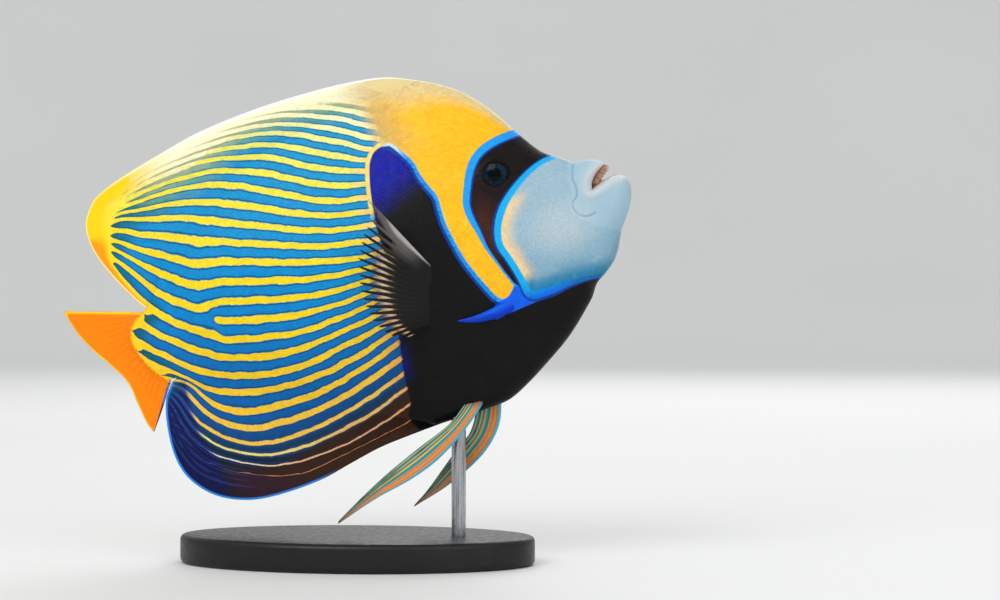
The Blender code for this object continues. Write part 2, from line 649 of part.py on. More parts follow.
def main():
    """Builds the whole model."""
    for old in list(bpy.data.objects):
        bpy.data.objects.remove(old, do_unlink=True)
    parts = bpy.data.collections.new("emperor_angelfish")
    cutters = bpy.data.collections.new("cutters")
    bpy.context.scene.collection.children.link(parts)
    bpy.context.scene.collection.children.link(cutters)
    pose = bpy.data.objects.new("swim_pose", None)
    parts.objects.link(pose)
    pose.location = TAIL_ROOT
    pose.rotation_euler = (0, -math.radians(NOSE_UP), 0)

    flank = material("striped_flank", (0.10, 0.45, 0.70))
    face = material("face", (0.55, 0.66, 0.78))
    yellow = material("yellow_orange", (0.95, 0.62, 0.10))
    blue = material("deep_blue", (0.03, 0.12, 0.55))
    dark = material("dark_fin", (0.04, 0.04, 0.07))
    belly_fin = material("belly_fin", (0.65, 0.40, 0.15))
    eyeball = material("eye", (0.02, 0.02, 0.03), roughness=0.05)

    head = make_head(parts, pose, face)
    torso = make_torso(parts, pose, flank)
    make_tail_stalk(parts, pose, flank)
    make_dorsal_fin(parts, pose, yellow)
    make_anal_fin(parts, pose, blue)
    make_caudal_fin(parts, pose, yellow)
    jaws = make_jaws(parts, pose, face)
    head_seat, torso_seat = swollen_copy(head, cutters), swollen_copy(torso, cutters)

    mouth = ball("mouth_hollow", MOUTH_CENTRE, MOUTH_HALF_SIZE, None, cutters, pose)
    hide(mouth)
    for jaw in jaws:
        cut_away(jaw, mouth)
    cut_away(head, mouth)

    for word, side in (("right", -1), ("left", 1)):
        cover = make_gill_cover(f"gill_cover_{word}", side, parts, pose, yellow)
        cut_away(head, swollen_copy(cover, cutters))
        spine = make_cheek_spine(f"cheek_spine_{word}", side, parts, pose, blue)
        cut_away(spine, head_seat)
        cut_away(spine, torso_seat)
        surface = half_width(Vector(EYE_PLACE))
        eye_side = side * (surface + EYE_PROUD - EYE_HALF_SIZE[1])
        eye = ball(f"eye_{word}", (EYE_PLACE[0], eye_side, EYE_PLACE[1]), EYE_HALF_SIZE, eyeball, parts, pose)
        cut_away(head, swollen_copy(eye, cutters))
        for k, (spot, radius) in enumerate(NOSTRILS):
            centre = (spot[0], side * half_width(Vector(spot)), spot[1])
            pit = ball(f"nostril_{word}_{k}", centre, (radius,) * 3, None, cutters, pose, 10, 6)
            hide(pit)
            cut_away(head, pit)
        fin = make_pectoral_fin(f"pectoral_fin_{word}", side, parts, pose, dark)
        cut_away(fin, torso_seat)
    for word, side, shape in (("right", -1, NEAR_PELVIC), ("left", 1, FAR_PELVIC)):
        fin = make_pelvic_fin(f"pelvic_fin_{word}", side, shape, parts, pose, belly_fin)
        cut_away(fin, torso_seat)

    base, rod = make_stand(parts, material("satin_black", (0.03, 0.03, 0.035), 0.35),
                           material("steel", (0.6, 0.6, 0.62), 0.25, 1.0))
    cut_away(base, swollen_copy(rod, cutters))
    cut_away(rod, torso_seat)


main()
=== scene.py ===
"""Looks of the emperor angelfish: one skin, its scales, fins, eyes, spines and stand.

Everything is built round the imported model, in its frame: metres, +Z up, nose to +X, right side to -Y.
The fish itself is drawn level, in millimetres, as (forward, up) in side view with the root of the
tail fin at the origin, and placed() turns it nose up. Both flanks carry the same forms and colours.
"""

from __future__ import annotations

import logging
import math
from dataclasses import dataclass, field
from enum import Enum
from functools import partial, reduce
from typing import Any, Callable, Sequence, Union

import bmesh
import bpy
import numpy as np
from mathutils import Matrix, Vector

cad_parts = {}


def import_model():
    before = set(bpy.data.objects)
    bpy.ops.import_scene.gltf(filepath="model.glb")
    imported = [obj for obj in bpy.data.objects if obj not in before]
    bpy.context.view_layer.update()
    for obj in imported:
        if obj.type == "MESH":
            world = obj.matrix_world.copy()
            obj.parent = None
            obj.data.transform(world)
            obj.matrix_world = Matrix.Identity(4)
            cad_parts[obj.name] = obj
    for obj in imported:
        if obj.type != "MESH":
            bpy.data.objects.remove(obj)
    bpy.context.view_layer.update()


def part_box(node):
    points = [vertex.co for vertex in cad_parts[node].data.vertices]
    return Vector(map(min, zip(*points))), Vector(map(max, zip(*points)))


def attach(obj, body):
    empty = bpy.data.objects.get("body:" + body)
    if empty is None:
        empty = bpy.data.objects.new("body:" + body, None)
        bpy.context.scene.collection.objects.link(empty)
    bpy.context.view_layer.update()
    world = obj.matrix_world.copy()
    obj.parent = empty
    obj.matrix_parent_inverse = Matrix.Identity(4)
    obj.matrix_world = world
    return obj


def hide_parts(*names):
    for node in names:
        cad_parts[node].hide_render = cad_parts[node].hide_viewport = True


LOG = logging.getLogger("emperor_angelfish")
Array = np.ndarray
Pair = tuple[float, float]
Triple = tuple[float, float, float]
Outline = Sequence[Pair]
Fade = tuple[str, float, float]
Grid = list[list[bmesh.types.BMVert]]
Material = bpy.types.Material
Socket = bpy.types.NodeSocket
Value = Union[float, Socket]
Paint = Union[str, Socket]

MILLIMETRE = 0.001
NOSE_UP = math.radians(19.0)
NOSE_COS, NOSE_SIN = math.cos(NOSE_UP), math.sin(NOSE_UP)
TAIL_ROOT = (-0.1045, 0.0, 0.1217)
CURVE_STEPS = 12
TINY = 1e-6
MERGE_DISTANCE = 1e-6
SEED = 7

# Outlines of the level fish in side view, the same as the solids have
DORSAL_ORIGIN = (188, 91.5)
DORSAL_END = (4, 23.5)
ANAL_ORIGIN = (137, -93.2)
ANAL_END = (4, -20.5)
THROAT = (205, -80)
LIP_NOTCH = (254.5, 19.3)
CHIN_FRONT = (267.5, -23.8)
FOREHEAD = [
    DORSAL_ORIGIN, (198, 85.6), (207.5, 78.2), (216, 68.7), (224, 57), (231, 44.3), (239, 32), (246, 26),
    (251, 22.6), LIP_NOTCH]
CHEST = [THROAT, (217.5, -72.6), (226, -66.4), (234, -59.6), (240, -54), (245, -47.6),
         (252, -43.4), (258, -38.8), (261.8, -34.2), (264.2, -30), CHIN_FRONT]
BELLY = [ANAL_ORIGIN, (150, -93.4), (165, -93.6), (178, -92.8), (192, -87), THROAT]
MUZZLE = [
    LIP_NOTCH, (260, 19.2), (266, 17), (271, 12), (276, 6.4), (280, 1), (280, -6), (276.5, -12), (271, -18),
    CHIN_FRONT]
DORSAL_BASE = [
    DORSAL_END, (15, 38), (34, 56), (58, 71), (85, 80.5), (116, 86), (146, 89), (170, 91.2), DORSAL_ORIGIN]
DORSAL_MARGIN = [
    (-0.5, 22), (-5, 29), (-12, 43), (-17.5, 57), (-19.7, 69), (-18, 79.5), (-11, 88.6), (-5, 92.2),
    (9, 96.6), (35, 102), (61, 106.2), (98, 107.6), (133, 105.8), (156, 103), (172, 99.1), DORSAL_ORIGIN]
ANAL_BASE = [ANAL_END, (31, -36), (66, -56), (107, -77), ANAL_ORIGIN]
ANAL_MARGIN = [
    (0, -22), (-6.8, -30.5), (-11.3, -47), (-12.1, -64.5), (-8.1, -77.7), (2.5, -90.2), (17.9, -98.3),
    (35, -101.5), (62, -101.4), (81, -98.1), (100, -94.9), (118, -93.8), ANAL_ORIGIN]
GILL_EDGE = [
    THROAT, (197, -57), (190.5, -36), (185, -22), (180, -7), (178, 10), (177.5, 24), (173.5, 39), (169, 52),
    (167, 61), (175, 76), DORSAL_ORIGIN]
STALK_BOW = (-1.5, 0)
TAIL_BORDER = [
    (-1, -20.3), (-6, -14), (-9.5, -8), (-12.2, -0.5), (-13.6, 6), (-12.6, 11.4), (-9, 16), (-4, 18.8),
    (0, 19.6)]
TAIL_MARGIN = [
    (-19.3, -45.4), (-21.4, -40), (-23, -27), (-24.6, -14), (-31.5, -0.5), (-37, 8.4), (-42.4, 19.3),
    (-45.6, 30), (-46.7, 36.4)]
LIP_GROOVE = [
    CHIN_FRONT, (260.5, -20.2), (253.3, -14.8), (248.6, -8), (247.6, -2), (249.6, 3), (250.9, 8.5),
    (252.2, 14.6), LIP_NOTCH]
MOUTH_CORNER = (259.5, 1.4)
UPPER_LIP_TOP = [LIP_NOTCH, (258.5, 19.4), (264, 18.2), (268, 16), (270.6, 13.4)]
UPPER_LIP_EDGE = [MOUTH_CORNER, (260.5, 5), (263.6, 9), (267.4, 11.8), (270.6, 13.4)]
LOWER_LIP_EDGE = [MOUTH_CORNER, (265.5, 2.9), (271.2, 4.9), (276.2, 4.8)]
LOWER_LIP_FRONT = [
    CHIN_FRONT, (271.2, -19.4), (275, -14.6), (278.4, -8.5), (280, -2.5), (279.2, 2.4), (276.2, 4.8)]

# Half-widths of the body, (forward, half-width), the same as the solids have
BODY_HALF_WIDTH = [
    (-16, 3.0), (0, 5.2), (15, 8.0), (40, 12.8), (80, 18.8), (120, 23.0), (150, 25.0), (180, 25.2),
    (205, 23.4), (225, 20.4), (240, 17.2), (252, 13.8), (262, 11.2), (272, 9.4), (284, 7.4)]
TOP_EDGE_HALF_WIDTH = [
    (-16, 2.0), (3, 2.8), (34, 3.4), (85, 4.2), (146, 4.6), (188, 5.6), (231, 7.4), (262, 8.0), (284, 7.0)]
FOOT_EDGE_HALF_WIDTH = [
    (-16, 2.0), (3, 2.8), (66, 3.7), (107, 4.3), (137, 5.2), (178, 6.8), (233, 7.6), (252, 9.0), (284, 7.0)]
FREE_EDGE_RADIUS = [(130, 5.5), (200, 6.5), (240, 7.5), (262, 9.0), (284, 8.0)]
SECTION_FULLNESS = 1.2
EYE_PLACE = (212.4, 26.0)
EYE_HALF_SIZE = (9.0, 4.5, 9.0)
EYE_PROUD = 1.6
ORBIT_RADIUS = 8.4
NOSTRILS = [((233.0, 31.4), 1.3), ((229.0, 34.0), 0.9)]
PECTORAL_ROOT = [(152.5, -36), (157.5, -25), (164.5, -12)]


def clamped(value: Array) -> Array:
    """Values kept between 0 and 1."""
    return np.clip(value, 0, 1)


def even(count: int) -> Array:
    """Fractions from 0 to 1 in this many equal steps."""
    return np.arange(count + 1) / count


def rise(value: Array, low: float, high: float) -> Array:
    """Smooth step from 0 at low to 1 at high, which may be the smaller of the two."""
    share = clamped((value - low) / (high - low))
    return share * share * (3 - 2 * share)


def fall(value: Array, low: float, high: float) -> Array:
    """Smooth step from 1 at low to 0 at high."""
    return 1 - rise(value, low, high)


def faded(measures: dict[str, Array], fades: Sequence[Fade]) -> Array:
    """Product of smooth steps, each from 0 at its measure's first value to 1 at its second."""
    return np.prod([rise(measures[name], none, full) for name, none, full in fades], axis=0)


def bell(distance: Array, reach: float) -> Array:
    """Smooth hump of height 1 that fades over a reach."""
    return np.exp(-((distance / reach) ** 2))


def dome(share: Array) -> Array:
    """Height of a quarter circle at shares of its radius, 0 at its foot and 1 from there on."""
    return np.sqrt(1 - (1 - clamped(share)) ** 2)


def unit(vectors: Array) -> Array:
    """Vectors of length 1 that point the same way."""
    return vectors / np.maximum(np.linalg.norm(vectors, axis=-1, keepdims=True), TINY)


def hermite(share: Array) -> list[Array]:
    """Weights of both ends and of both slopes on a smooth curve."""
    rest = 1 - share
    return [(1 + 2 * share) * rest**2, (3 - 2 * share) * share**2, share * rest**2, -rest * share**2]


def smooth_line(points: Sequence[Sequence[float]]) -> Array:
    """Draws a smooth line.

    Args:
        points: Points that it runs through.

    Returns:
        Close-set places on it, CURVE_STEPS from each point to the next.
    """
    knots = np.array(points, float)
    first, last = knots[:-1], knots[1:]
    span = np.linalg.norm(last - first, axis=1, keepdims=True)
    slopes = []
    for slope in (last - np.vstack([knots[:1], knots[:-2]]), np.vstack([knots[2:], knots[-1:]]) - first):
        slopes.append(slope * span / np.maximum(np.linalg.norm(slope, axis=1, keepdims=True), TINY))
    weights = [w[None, :, None] for w in hermite(np.arange(CURVE_STEPS) / CURVE_STEPS)]
    line = sum(term[:, None] * weight for term, weight in zip((first, last, *slopes), weights))
    return np.vstack([line.reshape(-1, knots.shape[1]), knots[-1:]])


def joined(first: Outline, *others: Outline) -> Array:
    """One close-set line along outlines that each start where the last one ends."""
    return np.vstack([smooth_line(first), *[smooth_line(other)[1:] for other in others]])


def travelled(line: Array) -> Array:
    """Distances along a line from its start to each of its places."""
    return np.concatenate([[0], np.cumsum(np.linalg.norm(np.diff(line, axis=0), axis=1))])


def places_on(line: Array, distances: Array) -> Array:
    """Places on a line at distances along it from its start."""
    run = travelled(line)
    return np.stack([np.interp(distances, run, values) for values in line.T], axis=1)


def spaced(points: Sequence[Sequence[float]], fractions: Array) -> Array:
    """Places on the smooth line through the points, at fractions of its length."""
    line = smooth_line(points)
    return places_on(line, clamped(fractions) * travelled(line)[-1])


def ramp(table: Outline, at: Array) -> Array:
    """Reads a table on a smooth curve through its values.

    Args:
        table: Pairs of place and value, with rising places.
        at: Places to read it at; beyond its ends it keeps the end values.

    Returns:
        A value for each place.
    """
    where, value = np.array(table, float).T
    at = np.clip(at, where[0], where[-1])
    k = np.clip(np.searchsorted(where, at) - 1, 0, len(where) - 2)
    before, after = np.maximum(k - 1, 0), np.minimum(k + 2, len(where) - 1)
    span = where[k + 1] - where[k]
    slope0 = (value[k + 1] - value[before]) / (where[k + 1] - where[before])
    slope1 = (value[after] - value[k]) / (where[after] - where[k])
    near, far, rise0, rise1 = hermite((at - where[k]) / span)
    return value[k] * near + value[k + 1] * far + slope0 * span * rise0 + slope1 * span * rise1


def offset(places: Array, line: Array) -> Array:
    """Measures how far places lie from a line.

    Args:
        places: Side-view places.
        line: Close-set places of the line. Only the stretches near each place are measured in full.

    Returns:
        Distances, positive on the left of the line's way.
    """
    east, north = places.T
    stride = CURVE_STEPS // 2
    nearest = np.min([np.hypot(east - x, north - z) for x, z in line[::stride]], axis=0)
    best, side = nearest**2 + 1, np.ones(len(places))
    for first in range(0, len(line) - 1, stride):
        stretch = line[first:first + stride + 1]
        middle = stretch[len(stretch) // 2]
        radius = np.linalg.norm(stretch - middle, axis=1).max()
        close = np.flatnonzero(np.hypot(east - middle[0], north - middle[1]) < nearest + radius + TINY)
        x, z, gap, way = east[close], north[close], best[close], side[close]
        for (x0, z0), (run_x, run_z) in zip(stretch[:-1], np.diff(stretch, axis=0)):
            away_x, away_z = x - x0, z - z0
            share = clamped((away_x * run_x + away_z * run_z) / max(run_x**2 + run_z**2, TINY))
            square = (away_x - share * run_x) ** 2 + (away_z - share * run_z) ** 2
            way = np.where(square < gap, run_x * away_z - run_z * away_x, way)
            gap = np.minimum(gap, square)
        best[close], side[close] = gap, way
    return np.sqrt(best) * np.where(side < 0, -1, 1)


def away(places: Array, points: Outline) -> Array:
    """Distances of places from the smooth line through the points."""
    return np.abs(offset(places, smooth_line(points)))


def depth_inside(places: Array, border: Array) -> Array:
    """Measures how deep places lie inside a border.

    Args:
        places: Side-view places.
        border: Close-set places of the border, which is closed from the last to the first.

    Returns:
        Distances from the border, positive inside it.
    """
    ring = np.vstack([border, border[:1]])
    inside = np.zeros(len(places), bool)
    for start, end in zip(ring[:-1], ring[1:]):
        crosses = (start[1] > places[:, 1]) != (end[1] > places[:, 1])
        climb = end[1] - start[1]
        at = start[0] + (places[:, 1] - start[1]) * (end[0] - start[0]) / (climb or TINY)
        inside ^= crosses & (places[:, 0] < at)
    return np.abs(offset(places, ring)) * np.where(inside, 1, -1)


def placed(points: Array) -> Array:
    """Turns the level fish nose up and puts it in the model's frame.

    Args:
        points: Places (forward, leftward, up) in millimetres.

    Returns:
        Places in metres.
    """
    forward, aside, up = np.moveaxis(points * MILLIMETRE, -1, 0)
    turned = (forward * NOSE_COS - up * NOSE_SIN, aside, forward * NOSE_SIN + up * NOSE_COS)
    return np.stack(turned, axis=-1) + TAIL_ROOT


def levelled(points: Array) -> Array:
    """Places of the model's frame as side-view places (forward, up) of the level fish."""
    east, _, high = (points - TAIL_ROOT).T / MILLIMETRE
    return np.stack([east * NOSE_COS + high * NOSE_SIN, -east * NOSE_SIN + high * NOSE_COS], axis=1)


class Side(Enum):
    """Side of the fish, as the sign of its places on the Y axis."""

    RIGHT = -1
    LEFT = 1

    @property
    def word(self) -> str:
        """Name of the side for a piece's name."""
        return self.name.lower()


@dataclass
class Flesh:
    """Half-width of the fish at any place in side view, with the forms modelled in it."""

    coat_depth: float = 0.22
    gill_rise: float = 1.0
    gill_fall: float = 15.0
    gill_edge: float = 0.5
    flap_foot: Pair = (-62, -46)
    flap_top: Pair = (50, 64)
    slit_depth: float = 0.3
    slit_behind: float = 0.6
    slit_reach: float = 0.9
    groove_depth: float = 0.5
    groove_reach: float = 0.6
    cheek_groove_depth: float = 0.55
    cheek_groove_reach: float = 1.1
    cheek_swell_reach: float = 3.0
    orbit_rise: float = 0.7
    orbit_reach: float = 1.7
    socket_depth: float = 2.0
    socket_radii: Pair = (4.5, 7.2)
    shoulder_rise: float = 0.6
    shoulder_reach: float = 6.0
    nostril_rise: float = 0.35
    nostril_rim: float = 0.8
    nostril_depth: float = 0.8
    full_relief_at: float = 4.0
    lip_roll: float = 0.9
    lip_radius: float = 3.2
    lip_edge_share: float = 0.7
    groove: Outline = (
        (257.5, -11.2), (253.2, -11.7), (249.6, -10.2), (247.4, -6.5), (247.2, -2.4), (250.6, 0.6),
        (251.8, 4.5), (251.6, 9.6), (252.6, 14.8), (254.5, 19.3))
    cheek_edge: Outline = ((207, -38), (203.5, -29), (201.5, -20), (200.5, -11), (202.5, -2), (207, 7))

    def __post_init__(self) -> None:
        """Works out the body's lines once."""
        self.top = joined(DORSAL_BASE, FOREHEAD, MUZZLE[:6])
        self.foot = joined(ANAL_BASE, BELLY, CHEST, MUZZLE[:5:-1])
        self.free_edge = np.vstack([joined(FOREHEAD, UPPER_LIP_TOP),
                                    joined(LOWER_LIP_FRONT[::-1], CHEST[::-1], BELLY[::-1])])

    @staticmethod
    def height(line: Array, forward: Array) -> Array:
        """Height of a side-view line above places along the fish."""
        return np.interp(forward, np.maximum.accumulate(line[:, 0]), line[:, 1])

    def half_width(self, places: Array) -> Array:
        """Works out the plain body, a lens across its height with round free edges.

        Args:
            places: Side-view places.

        Returns:
            Its half-widths there.
        """
        forward, up = places.T
        top, foot = self.height(self.top, forward), self.height(self.foot, forward)
        share = clamped((up - foot) / np.maximum(top - foot, 1))
        edge = ramp(FOOT_EDGE_HALF_WIDTH, forward) * (1 - share) + ramp(TOP_EDGE_HALF_WIDTH, forward) * share
        lens = (1 - (2 * share - 1) ** 2) ** SECTION_FULLNESS
        width = edge + (ramp(BODY_HALF_WIDTH, forward) - edge) * lens
        return width * dome(np.abs(offset(places, self.free_edge)) / ramp(FREE_EDGE_RADIUS, forward))

    def relief(self, places: Array) -> Array:
        """Works out the gill cover, grooves, orbit, shoulder and nostrils.

        Args:
            places: Side-view places.

        Returns:
            How far the skin stands out of the plain body there, in millimetres.
        """
        up = places[:, 1]
        ahead = -offset(places, smooth_line(GILL_EDGE))
        flap = rise(up, *self.flap_foot) * fall(up, *self.flap_top)
        form = (self.gill_rise * flap * rise(ahead, 0, self.gill_edge)
                * np.exp(-np.maximum(ahead, 0) / self.gill_fall))
        form -= self.slit_depth * flap * bell(ahead + self.slit_behind, self.slit_reach)
        form -= self.groove_depth * bell(away(places, self.groove), self.groove_reach)
        cheek = offset(places, smooth_line(self.cheek_edge))
        swell = bell(cheek + self.cheek_swell_reach, self.cheek_swell_reach)
        form += self.cheek_groove_depth * (swell - bell(cheek, self.cheek_groove_reach))
        eye = np.linalg.norm(places - EYE_PLACE, axis=1)
        form += (self.orbit_rise * bell(eye - ORBIT_RADIUS, self.orbit_reach)
                 - self.socket_depth * fall(eye, *self.socket_radii))
        form += self.shoulder_rise * bell(away(places, PECTORAL_ROOT), self.shoulder_reach)
        for spot, radius in NOSTRILS:
            gap = np.linalg.norm(places - spot, axis=1)
            form += (self.nostril_rise * bell(gap - radius, self.nostril_rim)
                     - self.nostril_depth * bell(gap, radius))
        return form - self.coat_depth

    def width(self, places: Array) -> Array:
        """Half-width of the skin on the body."""
        plain = self.half_width(places)
        return plain + self.relief(places) * clamped(plain / self.full_relief_at)

    def lipped_width(self, places: Array, lip: Outline) -> Array:
        """Works out the skin on a jaw, with its rolled lip.

        Args:
            places: Side-view places.
            lip: The lip's line in side view.

        Returns:
            Half-widths of the skin there.
        """
        depth = away(places, lip) / self.lip_radius
        roll = (self.lip_roll * np.sin(math.pi * np.minimum(depth, 2) / 2)
                * clamped(self.half_width(places) / self.full_relief_at))
        return (self.width(places) + roll) * (self.lip_edge_share + (1 - self.lip_edge_share) * dome(depth))


@dataclass
class FinForm:
    """Thickness of a fin in the middle plane, from its fleshy base to its margin."""

    rays: int
    margin: float = 0.34
    taper: float = 2.4
    relief: float = 0.26
    start: float = 0.16
    forking: Pair = (0.45, 0.8)
    ray_fade: float = 0.4

    def half_thickness(self, root: Array, share: Array, across: Array) -> Array:
        """Half-thickness at a share of the way out and a fraction across the rays."""
        web = self.margin + (root - self.margin) * (1 - share) ** self.taper
        return web + self.relief * rise(share, self.start / 2, self.start * 2) * self.crest(share, across)

    def crest(self, share: Array, across: Array) -> Array:
        """Works out the rays, which fork on their way out.

        Args:
            share: Shares of the way out.
            across: Fractions across the rays.

        Returns:
            Heights of the rays, from 0 to 1.
        """
        turn = 2 * math.pi * self.rays * across
        single, double = 0.5 - 0.5 * np.cos(turn), 0.5 - 0.5 * np.cos(2 * turn)
        fork = rise(share, *self.forking)
        return (single**2 * (1 - fork) + double**2 * single**0.5 * fork) * (1 - self.ray_fade * share)


@dataclass
class Patch:
    """Stretch of the right side's skin: a grid of side-view places with their half-widths."""

    name: str
    places: Array
    widths: Array
    share: Array | None = None
    crest: Array | None = None
    lips: Sequence[tuple[int, int]] = field(default_factory=list)

    def points(self) -> Array:
        """Grid of places (forward, leftward, up) on the right side."""
        return np.stack([self.places[..., 0], -self.widths, self.places[..., 1]], axis=-1)


def coons(rear: Array, front: Array, foot: Array, top: Array, columns: Array,
          rows: Array) -> Array:
    """Spreads a grid between four edge lines that meet at their ends.

    Args:
        rear: Places up the rear edge, one for each row.
        front: Places up the front edge.
        foot: Places along the foot, one for each column.
        top: Places along the top.
        columns: Fractions along the foot and the top.
        rows: Fractions up the rear and the front.

    Returns:
        Side-view places by column and row.
    """
    s, t = columns[:, None, None], rows[None, :, None]
    across = rear[None] * (1 - s) + front[None] * s
    upward = foot[:, None] * (1 - t) + top[:, None] * t
    corners = (rear[0] * (1 - s) + front[0] * s) * (1 - t) + (rear[-1] * (1 - s) + front[-1] * s) * t
    return across + upward - corners


def in_scene(name: str, data: bpy.types.ID) -> bpy.types.Object:
    """Puts a mesh, a light or a camera in the scene.

    Args:
        name: The object's name.
        data: What it shows.

    Returns:
        The object, at the origin.
    """
    made = bpy.data.objects.new(name, data)
    bpy.context.scene.collection.objects.link(made)
    return made


def mesh_of(name: str, body: bmesh.types.BMesh) -> bpy.types.Mesh:
    """Makes a mesh of a closed form.

    Args:
        name: The mesh's name.
        body: The form in the model's frame, freed here.

    Returns:
        The mesh, facing outwards.
    """
    bmesh.ops.recalc_face_normals(body, faces=body.faces[:])
    mesh = bpy.data.meshes.new(name)
    body.to_mesh(mesh)
    body.free()
    return mesh


def finished(mesh: bpy.types.Mesh, material: Material,
             smooth_below: float = 60.0) -> bpy.types.Object:
    """Puts a mesh in the scene as a piece that rides on the model.

    Args:
        mesh: The piece's mesh in the model's frame, which also names it.
        material: Its finish.
        smooth_below: Angle in degrees under which edges are shaded smooth.

    Returns:
        The piece, at the origin.
    """
    mesh.materials.append(material)
    mesh.shade_smooth()
    mesh.set_sharp_from_angle(angle=math.radians(smooth_below))
    piece = in_scene(mesh.name, mesh)
    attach(piece, "root")
    LOG.info("%s: %d vertices, %d faces", piece.name, len(mesh.vertices), len(mesh.polygons))
    return piece


def keep_fields(mesh: bpy.types.Mesh, fields: dict[str, Array]) -> None:
    """Writes named values on a mesh's vertices.

    Args:
        mesh: The mesh.
        fields: One value for each vertex, by name.
    """
    for name, values in fields.items():
        attribute = mesh.attributes.get(name) or mesh.attributes.new(name, "FLOAT", "POINT")
        attribute.data.foreach_set("value", np.asarray(values, np.float32))


def vertex_places(mesh: bpy.types.Mesh) -> Array:
    """Reads the places of a mesh's vertices.

    Args:
        mesh: The mesh.

    Returns:
        A place for each vertex.
    """
    flat = np.zeros(len(mesh.vertices) * 3)
    mesh.vertices.foreach_get("co", flat)
    return flat.reshape(-1, 3)


def grid_of(body: bmesh.types.BMesh, places: Array,
            fields: Sequence[tuple[bmesh.types.BMLayerItem, Array]]) -> Grid:
    """Adds a grid to a mesh, bent to a grid of places.

    Args:
        body: The mesh that takes the grid.
        places: Places (forward, leftward, up) of the level fish, by column and row.
        fields: Pairs of a vertex layer and the values it takes, by column and row.

    Returns:
        The grid's vertices by column and row.
    """
    points = placed(places)
    columns, rows = points.shape[:2]
    made = bmesh.ops.create_grid(body, x_segments=columns - 1, y_segments=rows - 1, size=1)["verts"]
    grid: Grid = [[None] * rows for _ in range(columns)]
    for vertex in made:
        i = round((vertex.co.x + 1) / 2 * (columns - 1))
        j = round((vertex.co.y + 1) / 2 * (rows - 1))
        grid[i][j] = vertex
        vertex.co = points[i, j]
        for layer, values in fields:
            vertex[layer] = values[i, j]
    return grid


